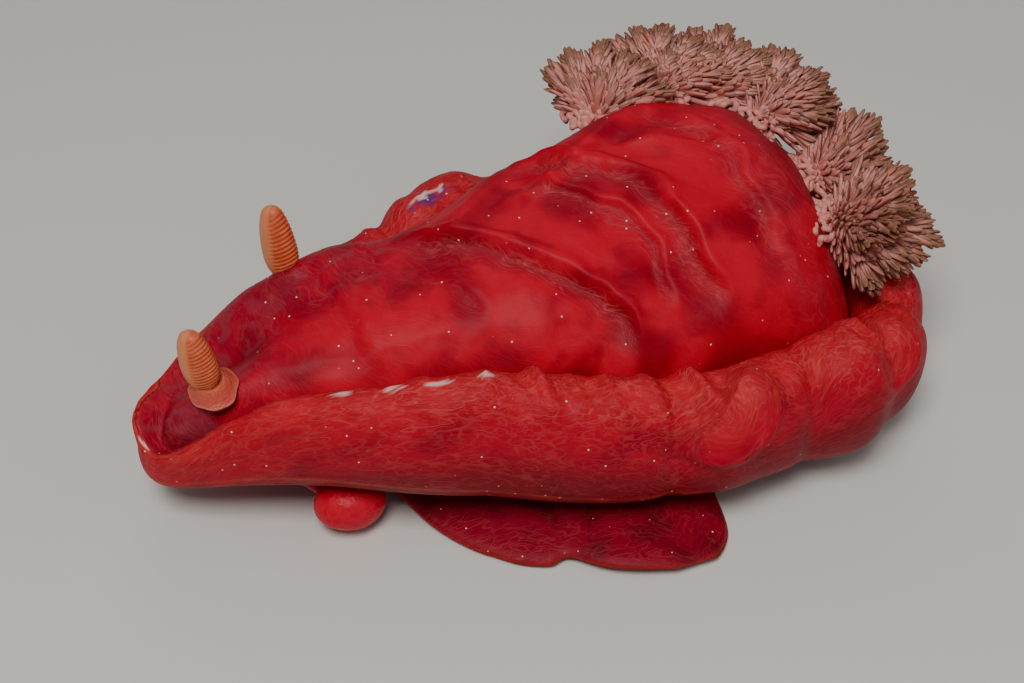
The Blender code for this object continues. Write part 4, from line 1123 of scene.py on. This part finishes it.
def club_spot(side):
    base, _ = sheath_seat(side)

    def spot(angle, share):
        behind = falling(np.cos(angle), 0.15, 0.30)
        plate_at = (share - CLUB_STALK) / (1 - CLUB_STALK) + PLATE_SLANT * np.cos(angle)
        plate = np.mod(plate_at * CLUB_PLATES, 1.0)
        inside = rising(share, 0.24, 0.04) * falling(share, 0.97, 0.04)
        cleft = behind * inside * (1 - (1 - np.abs(2 * plate - 1)) ** 0.6)
        radius = CLUB_RADIUS * profile(CLUB_STOPS, share) * (1 - PLATE_DEPTH * cleft)
        ahead = radius * np.cos(angle) + CLUB_BEND * rising(share, 0.3, 0.7)
        beside = radius * np.sin(angle) * CLUB_FLATNESS
        height = -CLUB_ROOT + (CLUB_RISE[side] + CLUB_ROOT) * share
        points = stood(np.hypot(ahead, beside), np.arctan2(beside, ahead), height, base, CLUB_WAY[side],
                       HEAD_WAY)
        moved = np.outer(rising(share, 0.05, 0.25), CLUB_MOVED[side])
        return points + moved, {"cleft": cleft, "band": 1 - behind}
    return spot


def club_finish():
    horn = Finish("rhinophore_skin", roughness=0.45, glow=0.15, glow_reach=0.003, glow_tint=(1.0, 0.4, 0.2),
                  gloss=0.3)
    mottle = horn.noise(horn.body(), (3, 3, 3), 3.0)
    horn.colour = paint(204, 86, 48)
    horn.lay(mottle.ramp(0.35, 0.7), (216, 110, 68))
    horn.lay(horn.attribute("band") * 0.8, (226, 142, 94))
    # painted shade, darker in the clefts between the plates
    horn.lay(horn.attribute("cleft").ramp(0.35, 0.95) * 0.75, (160, 52, 26))
    return horn.done(mottle, 0.06)


club_skin = club_finish()
for side in SIDES:
    club = link("rhinophore_club_" + side, wrapped(40, 236, club_spot(side)), club_skin)
    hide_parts("rhinophore_" + side)
print("2 clubs of", CLUB_PLATES, "plates")

# %% [markdown]
# # Feelers beside the mouth
# Two soft feelers grow from the corners of the mouth, and each swells from a thin neck to a round bulb
# under the edge of the mantle. Each is a sheet wrapped round a bent route, thick where it swells. The mouth
# is a puckered ring under the head's front.

# %% Oral feelers and mouth
TENTACLE_ROUTE = ((-77, 11, 16.5), (-68.5, 14, 15), (-56.5, 20.5, 12.5), (-41.5, 35.2, 9))
BULB_RADIUS = 8.6
NECK_RADIUS = 3.1
BULB_STRETCH = 71.7
LOBE_FLATNESS = 0.92
OUT_OF_LINE = (0.3, 0.2, 0.93)


def along_bent(share):
    """Points of the feelers' bent route at shares of it."""
    places = np.linspace(0, 1, len(TENTACLE_ROUTE))
    return np.stack([profile(list(zip(places, values)), share) for values in zip(*TENTACLE_ROUTE)], axis=-1)


def lobe_spot(side):
    def spot(angle, share):
        centre = along_bent(share) * (1, side, 1)
        way = unit(along_bent(np.minimum(share + 0.01, 1)) - along_bent(np.maximum(share - 0.01, 0)))
        way = way * (1, side, 1)
        from_middle = (1 - share) * BULB_STRETCH - BULB_RADIUS
        ball = np.sqrt(np.maximum(BULB_RADIUS ** 2 - from_middle ** 2, 0))
        neck = NECK_RADIUS * np.sqrt(smooth(share / 0.06)) * falling(share, 1, 0.2)
        radius = (ball ** 4 + neck ** 4) ** 0.25
        across_way = unit(np.cross(way, OUT_OF_LINE))
        thin = np.cross(across_way, way)
        out = across_way * np.cos(angle)[:, None] + thin * np.sin(angle)[:, None] * LOBE_FLATNESS
        points = centre + radius[:, None] * out
        points += 0.35 * grain(points, 6, 31)[:, None] * thin
        return turned(points), {"swollen": rising(share, 0.7, 0.15)}
    return spot


def lobe_finish():
    soft = Finish("lobe_skin", roughness=0.38, glow=0.15, glow_reach=0.004, glow_tint=BLOOD_GLOW, gloss=0.14)
    threads = soft.threads(soft.body(), (2.5, 2.5, 2.5), 6.0)
    soft.colour = paint(*CRIMSON)
    soft.lay(soft.attribute("swollen"), (200, 0, 42))
    soft.lay(threads * 0.12, VEIN_PINK)
    return soft.done(threads, 0.08)


lobe_skin = lobe_finish()
for name, side in zip(SIDES, (-1, 1)):
    lobe = link("oral_feeler_" + name, wrapped(40, 90, lobe_spot(side)), lobe_skin)
    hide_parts("oral_tentacle_" + name)

MOUTH_STOPS = ((0, 0, -5), (0.08, 3.6, -4.6), (0.25, 4, -1), (0.42, 4.9, 2), (0.56, 4.6, 3.5),
               (0.66, 3.4, 4.1), (0.78, 1.8, 3.2), (0.9, 0.8, 1.6), (1, 0, 1))
MOUTH_WAY = HEAD_WAY - (0, 0, 0.75)
MOUTH_PUCKERS = 11
PUCKER_DEPTH = 0.05


def mouth_spot(angle, share):
    radius, height = turned_profile(MOUTH_STOPS, share)
    radius *= 1 + PUCKER_DEPTH * np.sin(MOUTH_PUCKERS * angle) * rising(share, 0.3, 0.2)
    points = stood(radius, angle, height, np.mean(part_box("mouth"), axis=0), MOUTH_WAY, OUT_OF_LINE)
    return points, {"swollen": rising(share, 0.6, 0.2)}


lips = link("puckered_mouth", wrapped(66, 40, mouth_spot), lobe_skin)
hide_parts("mouth")
print("2 oral feelers and a mouth")

# %% [markdown]
# # Gills
# Six branching gills stand in a ring round the rear of the back. Each is a fan of soft branches, every
# branch crowded with finger-like leaflets that are pink and brown at the tip. Many leaflets carry a dark line
# in a groove, which is painted shade, and the leaflets' lower sides, the branches and the stems are darkened,
# partly as their own brown and partly as painted shade between the leaflets. Frilled ribbons hide the
# inner side of each stem. One leaflet of a few dozen faces is modelled and repeated some
# thousands of times, each copy turned and sized for its place on its branch, and a gill's leaflets and
# branches are joined in one mesh. Instances would be lighter, but a joined mesh can be kept and printed.

# %% One leaflet
LEAFLET_SIDES = 8
LEAFLET_ROWS = 7
LEAFLET_STOPS = ((0, 0.5), (0.2, 0.85), (0.45, 1), (0.76, 1), (0.88, 0.9), (0.96, 0.62), (1, 0.1))
LEAFLET_THICKNESS = 0.72
LEAFLET_SWAY = 0.22
GILL_MERGE = 0.002


def leaflet_spot(angle, share):
    """A finger 1 long and 1 wide, with shares for its dark lower side, partly its own brown and partly
    painted shade, and for a painted-shade line in a groove along the side that its own Y points to.
    """
    share = 1 - (1 - share) ** 1.7
    half = profile(LEAFLET_STOPS, share) / 2
    # the groove: the leaflet is thinner there, and the finish paints it dark as painted shade
    on_line = spread(angle - math.pi / 2, 0.3)
    x = half * np.cos(angle) + LEAFLET_SWAY * np.sin(1.6 * math.pi * share)
    y = half * np.sin(angle) * LEAFLET_THICKNESS * (1 - 0.25 * on_line) - 0.10 * share ** 2
    # lower side darker: partly the leaflet's own brown, partly painted shade between leaflets
    under = falling(np.sin(angle), 0.15, 0.8)
    return np.stack((x, y, share), axis=1), {"line": on_line, "under": under, "up_leaflet": share}


leaflet = wrapped(LEAFLET_SIDES, LEAFLET_ROWS, leaflet_spot, GILL_MERGE)
print("leaflet of", len(leaflet.polygons), "faces")

# %% Gill layout
# Place on the edge, right side or not, how far out on the back, and how steeply the gill stands.
GILLS = ((0.362, True, 0.80, 0.52), (0.272, True, 0.80, 0.52), (0.174, True, 0.80, 0.48),
         (0.088, True, 0.82, 0.44), (0.004, True, 0.88, 0.36), (0.086, False, 0.87, 0.34))
BRANCH_FAN = math.radians(62)
BRANCHES = 13
BRANCH_LENGTH = 21.8
INNER_BRANCHES = 3
INNER_LENGTH = 14.0
CURLS = 6
CURL_STEPS = 90
BRANCH_STEPS = 12
LEAFLET_STEPS = 9
LEAFLETS_ROUND = 8
LEAFLET_LENGTH = 12.0
LEAFLET_WIDTH = 1.85
LEAFLET_SPLAY = math.radians(27)
GILL_SEED = 41
STEM_POINTS = ((-2.5, 0), (0, 0), (1.8, 0), (2.6, 1.4))
STEM_RADII = (2.6, 2.6, 2.47, 1.82)
STEM_SIDES = 14
BRANCH_SIDES = 6
BRANCH_RADIUS = (1.3, 0.5)
BRANCH_TILT = (-0.30, 0.34)
CURL_SIDES = 9
CURL_LOBES = (3, 4, 5)
CURL_WAVE = 0.42
CURL_TURN = 2 * math.pi * 0.95
CURL_REACH = (2.6, 3.5)
CURL_ENDS = ((0, 0.06, 0.94, 1), (0.5, 1.0, 1.0, 0.5))
TIP_CURL = 0.20
TIP_SPREAD = 0.10
SHORTER_ASIDE = 0.20
INNER_WAY = (0.70, 0.55, 0.80)
INNER_CURL = 0.25
INNER_SIZE = 0.85


def gill_seat(place_on_edge, is_right, share, lean):
    """A gill's root on the back in mm, the way out of the skin there, and the three ways of its fan."""
    here = Columns(np.array([2 - place_on_edge if is_right else place_on_edge]))
    spot, outer = turned(back_path(here, np.array([share, share + 0.05])))[0] / MM
    beside = turned(back_path(Columns(here.around + 0.01), np.array([share])))[0, 0] / MM
    normal = unit(np.cross(outer - spot, beside - spot))
    normal *= np.sign(normal[2])
    outward = np.append(unit((here.crease - here.ridge)[0]), 0)
    grows = unit(normal * 0.22 + outward * 0.62 + np.array((0, 0, lean)))
    aside = np.cross(outward, (0, 0, 1))
    aside = unit(aside - grows * (aside @ grows))
    face = np.cross(aside, grows)
    return spot, normal, grows, aside, face * np.sign(face[2])


for number, layout in enumerate(GILLS, 1):
    print("gill", number, "root, mm:", gill_seat(*layout)[0].round(1))

# %% Branches and ribbons
def tube(path, radii, sides, beside=(0.31, 0.95, 0.1), brown=1.0):
    """A closed round branch along a path, its sides set out from a way that it never runs along."""
    path = np.array(path)
    steps = range(len(path))
    ways = np.gradient(path, axis=0)

    def at_steps(rows, at):
        return np.stack([np.interp(at, steps, values) for values in rows.T], axis=1)

    def spot(angle, share):
        at = share * (len(path) - 1)
        way = at_steps(ways, at)
        across_way = unit(np.cross(way, beside))
        other = unit(np.cross(across_way, way))
        radius = np.interp(at, steps, radii)[:, None]
        inside = ((share > CRUMB) & (share < 1 - CRUMB))[:, None]
        out = np.cos(angle)[:, None] * across_way + np.sin(angle)[:, None] * other
        # branches and stems dark all round, ribbons only below: partly their own brown, partly painted shade
        # among the leaflets
        under = np.maximum(brown, falling(np.sin(angle), 0.1, 0.9))
        return at_steps(path, at) + inside * radius * out, {"line": 0 * share, "under": under,
                                                            "up_leaflet": 0 * share}

    return wrapped(sides, len(path) + 1, spot, GILL_MERGE)


def curls(seat, top, draw):
    """Frilled ribbons folded into loops, which hide the inner side of a gill's stem."""
    grows, aside, face = seat[2:]
    turn = np.linspace(0, 1, CURL_STEPS)
    made = []
    for k, fan in enumerate(np.linspace(-1, 1, CURLS)):
        centre = (top + face * (2.5 + 1.6 * (k % 2)) + aside * (9.0 * fan + draw.uniform(-1, 1))
                  + grows * (1.5 - 2.5 * (k % 2) - 2.0 * abs(fan)))
        looks = unit(face + grows * draw.uniform(-0.25, 0.25) + aside * (0.5 * fan + draw.uniform(-0.2, 0.2)))
        first = unit(np.cross(looks, grows))
        second = np.cross(looks, first)
        lobes = draw.choice(CURL_LOBES)
        angle = CURL_TURN * turn + draw.uniform(0, 6)
        reach = draw.uniform(*CURL_REACH) * (1 + CURL_WAVE * np.sin(lobes * angle + draw.uniform(0, 6)))
        route = (centre + np.outer(reach * np.cos(angle), first) + np.outer(reach * np.sin(angle), second)
                 + np.outer(0.8 * np.cos(2 * lobes * angle), looks))
        thick = np.interp(turn, *CURL_ENDS) * draw.uniform(0.85, 1.05)
        made.append(tube(route, thick, CURL_SIDES, looks, 0.0))
    return made


def branch_paths(seat, draw):
    """The routes of a gill's branches: two outer layers that curl at their tips, and a few inner ones."""
    spot, normal, grows, aside, face = seat
    top = spot + normal * 2.4 + grows * 0.6
    shares = np.linspace(0, 1, BRANCH_STEPS)
    routes = []
    for k, fan in enumerate(np.linspace(-1, 1, BRANCHES)):
        angle = BRANCH_FAN * fan + draw.uniform(-0.07, 0.07)
        tilt = BRANCH_TILT[k % 2] + draw.uniform(-0.08, 0.08)
        way = unit(grows * math.cos(angle) + aside * math.sin(angle) + face * tilt)
        long = BRANCH_LENGTH * (1 - SHORTER_ASIDE * abs(fan)) * draw.uniform(0.88, 1.06)
        curl = aside * TIP_SPREAD * fan - face * TIP_CURL
        routes.append(top + long * (np.outer(shares, way) + np.outer(shares ** 2.2, curl)))
    onward, facing, sideways = INNER_WAY
    for fan in np.linspace(-1, 1, INNER_BRANCHES):
        way = unit(grows * onward + face * facing + aside * (sideways * fan + draw.uniform(-0.1, 0.1)))
        long = INNER_LENGTH * draw.uniform(0.85, 1.1)
        routes.append(top + long * (np.outer(shares, way) - np.outer(shares ** 2, face * INNER_CURL)))
    return routes


print("routes of", BRANCHES + INNER_BRANCHES, "branches and", CURLS, "ribbons for each gill")

# %% Leaflets on their branches
LEAFLET_ROOT = 0.4
LONGER_OR_SHORTER = (0.75, 1.15)
WIDER_OR_THINNER = (0.8, 1.15)


def leaflets_along(route, size, face, draw):
    """Roots and own ways of the leaflets round one branch, with how far out on the branch each stands."""
    grown = []
    for step in range(1, LEAFLET_STEPS + 1):
        for turn_number in range(LEAFLETS_ROUND):
            share = min(1.0, (step + draw.uniform(-0.45, 0.35)) / LEAFLET_STEPS)
            at = share * (BRANCH_STEPS - 1)
            first_step = min(int(at), BRANCH_STEPS - 2)
            way = unit(route[first_step + 1] - route[first_step])
            root = route[first_step] + (route[first_step + 1] - route[first_step]) * (at - first_step)
            first = unit(np.cross(way, face))
            second = np.cross(first, way)
            angle = 2 * math.pi * (turn_number + 0.5 * (step % 2)) / LEAFLETS_ROUND + draw.uniform(-0.3, 0.3)
            out = first * math.cos(angle) + second * math.sin(angle)
            splay = LEAFLET_SPLAY * (1.35 - 0.85 * share) + draw.uniform(-0.10, 0.10)
            long_way = unit(way * math.cos(splay) + out * math.sin(splay))
            top_way = unit(out * math.cos(splay) - way * math.sin(splay))
            swell = 0.62 + 0.45 * math.sin(math.pi * min(1, share * 0.9 + 0.12))
            long = LEAFLET_LENGTH * size * swell * draw.uniform(*LONGER_OR_SHORTER)
            wide = LEAFLET_WIDTH * draw.uniform(*WIDER_OR_THINNER)
            own_ways = (np.cross(top_way, long_way) * wide, top_way * wide, long_way * long)
            grown.append((root + out * LEAFLET_ROOT, own_ways, share))
    return grown


print("leaflets for each branch:", LEAFLET_STEPS * LEAFLETS_ROUND)

# %% One gill
SOFT_MARGIN = 8 * MM
WALL_GAP = 0.2 * MM
BRANCH_SHADE = 0.4
LEAFLETS_CORNER = 0.85
BRANCH_CORNER = 0.88


def kept_inside(spots):
    """Presses the tips of the leaflets softly back, so that they end inside the solids' box."""
    for axis, side in ((0, 1), (1, 1), (1, -1), (2, 1)):
        wall = (high_corner if side > 0 else low_corner)[axis] * side - WALL_GAP
        past = np.maximum(spots[:, axis] * side - (wall - SOFT_MARGIN), 0)
        spots[:, axis] -= side * (past - SOFT_MARGIN * (1 - np.exp(-past / SOFT_MARGIN)))
    return spots


def lay_out_patches(mesh, loops_each, copies):
    """Gives every leaflet its own small patch of the bake map, row by row, and the branches one corner."""
    layer = mesh.uv_layers["OFBake"]
    spots = np.empty(len(layer.data) * 2)
    layer.data.foreach_get("uv", spots)
    spots = spots.reshape(-1, 2)
    per_row = math.ceil(math.sqrt(copies))
    cell = LEAFLETS_CORNER / per_row
    number = np.repeat(np.arange(copies), loops_each)
    corner = np.stack((number % per_row, number // per_row), axis=1) * cell
    spots[:len(number)] = corner + spots[:len(number)] * cell * 0.9
    spots[len(number):] = BRANCH_CORNER + spots[len(number):] * 0.1
    layer.data.foreach_set("uv", spots.ravel())


def gill_mesh(seat, seed):
    """All leaflets and branches of one gill, in one mesh."""
    draw = random.Random(seed)
    spot, normal, grows, aside, face = seat
    shape = spots_of(leaflet)
    grown = []
    tubes = []
    for k, route in enumerate(branch_paths(seat, draw)):
        size, facing = (1.0, face) if k < BRANCHES else (INNER_SIZE, aside)
        grown += leaflets_along(route, size, facing, draw)
        tubes.append(tube(route, np.linspace(*BRANCH_RADIUS, BRANCH_STEPS) * size, BRANCH_SIDES))
    stem = [spot + normal * up + grows * on for up, on in STEM_POINTS]
    tubes.append(tube(stem, STEM_RADII, STEM_SIDES))
    tubes += curls(seat, stem[-1], draw)
    bm = bmesh.new()
    for piece in [leaflet] * len(grown) + tubes:
        bm.from_mesh(piece)
    mesh = as_mesh(bm)
    spots = spots_of(mesh)
    in_leaflets = len(grown) * len(shape)
    spots[:in_leaflets] = np.concatenate([root + shape @ np.stack(own_ways) for root, own_ways, _ in grown])
    mesh.vertices.foreach_set("co", kept_inside(spots * MM).ravel())
    for name, own, rest in (("shade", [draw.random() for _ in grown], BRANCH_SHADE),
                            ("outer", [leaf[-1] for leaf in grown], 0.0)):
        values = np.full(len(spots), rest)
        values[:in_leaflets] = np.repeat(own, len(shape))
        add_point_values(mesh, name, "FLOAT", values)
    lay_out_patches(mesh, len(leaflet.loops), len(grown))
    mesh.update()
    return mesh, len(grown)


print("room for the gills, mm:", ((high_corner - low_corner) / MM).round(1))

# %% Six gills
def gill_finish():
    """Pink leaflets with brown tips, painted shade in a groove along many of them, and lower sides, branches
    and stems darkened, partly as their own brown and partly as painted shade.
    """
    frill = Finish("gill_skin", roughness=0.48, glow=0.18, glow_reach=0.002, glow_tint=(1.0, 0.45, 0.3),
                   gloss=0.3)
    own = frill.attribute("shade")
    blotch = frill.noise(frill.body(), (7, 7, 7))
    tip = (frill.attribute("up_leaflet") * 0.8 + frill.attribute("outer") * 0.55 + own * 0.2).ramp(0.90, 1.26)
    frill.colour = paint(218, 136, 124)
    frill.lay(own, (234, 172, 160))
    frill.lay(blotch.ramp(0.54, 0.70) * 0.45, (222, 126, 92))
    frill.lay(tip * 0.85, (126, 84, 54))
    # painted shade in the groove of many leaflets
    frill.lay(frill.attribute("line").ramp(0.72, 0.95) * own.ramp(0.35, 0.6), (110, 36, 30))
    # painted shade, together with the gills' own brown: dark lower sides, branches and stems
    frill.lay(frill.attribute("under").ramp(0.1, 1.0) * 0.8, (118, 44, 36))
    return frill.done()


gill_skin = gill_finish()
for number, layout in enumerate(GILLS, 1):
    mesh, leaflets = gill_mesh(gill_seat(*layout), GILL_SEED + number)
    gill = link(f"gill_{number}_fan", mesh, gill_skin)
    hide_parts(f"gill_{number}")
    print("gill", number, "has", leaflets, "leaflets and", len(mesh.polygons), "faces")

# %% [markdown]
# # Floor, light and camera
# A pale floor and soft lamps show the animal plainly. The camera looks down at it from its left and a
# little ahead, as close as a diver's, and its lens is a short portrait one.

# %% Floor and lamps
CAMERA_AZIMUTH = -23
CAMERA_HEIGHT_ANGLE = 45
CAMERA_DISTANCE = 0.52
LENS_MM = 60
SENSOR_MM = 36
LOOKED_AT = Vector((7.6 + PLAN_SHIFT_X, PLAN_SHIFT_Y, 30)) * MM
FLOOR_HALF = 2.5
FLOOR_COLOUR = (0.72, 0.69, 0.63, 1)
ROOM_COLOUR = (0.80, 0.84, 0.90, 1)
ROOM_LIGHT = 0.16
# Name, angle round the animal, angle above the floor, distance, size and watts of each lamp.
LAMPS = (("key_lamp", -35, 62, 1.1, 0.35, 8.4), ("fill_lamp", 50, 40, 1.3, 0.9, 1.6),
         ("rim_lamp", 160, 45, 1.3, 0.7, 1.6))


def plain_floor():
    """A wide pale floor at the height that the sole rests at."""
    bm = bmesh.new()
    bmesh.ops.create_grid(bm, x_segments=1, y_segments=1, size=FLOOR_HALF)
    mesh = as_mesh(bm)
    floor = bpy.data.objects.new("floor", mesh)
    bpy.context.scene.collection.objects.link(floor)
    pale = Finish("pale_floor", roughness=0.8)
    pale.colour = FLOOR_COLOUR
    mesh.materials.append(pale.done())


def set_up(name, data, azimuth, height_angle, distance):
    """Stands a lamp or camera at a distance from the animal and turns it to look at it."""
    azimuth, height_angle = math.radians(azimuth), math.radians(height_angle)
    away = Vector((math.sin(azimuth) * math.cos(height_angle), -math.cos(azimuth) * math.cos(height_angle),
                   math.sin(height_angle)))
    obj = bpy.data.objects.new(name, data)
    obj.location = LOOKED_AT + away * distance
    obj.rotation_euler = away.to_track_quat("Z", "Y").to_euler()
    bpy.context.scene.collection.objects.link(obj)
    return obj


plain_floor()
for name, azimuth, height_angle, distance, size, watts in LAMPS:
    light = bpy.data.lights.new(name, "AREA")
    light.size = size
    light.energy = watts
    set_up(name, light, azimuth, height_angle, distance)
world = bpy.data.worlds.new("soft_room")
world.use_nodes = True
room = world.node_tree.nodes["Background"].inputs
room["Color"].default_value = ROOM_COLOUR
room["Strength"].default_value = ROOM_LIGHT
bpy.context.scene.world = world
print("floor and", len(LAMPS), "lamps")

# %% Camera
lens = bpy.data.cameras.new("camera")
lens.lens = LENS_MM
lens.sensor_width = SENSOR_MM
camera = set_up("camera", lens, CAMERA_AZIMUTH, CAMERA_HEIGHT_ANGLE, CAMERA_DISTANCE)
bpy.context.scene.camera = camera
print("camera stands at, mm:", [round(c / MM) for c in camera.location])

# %% Done
print("scene built")
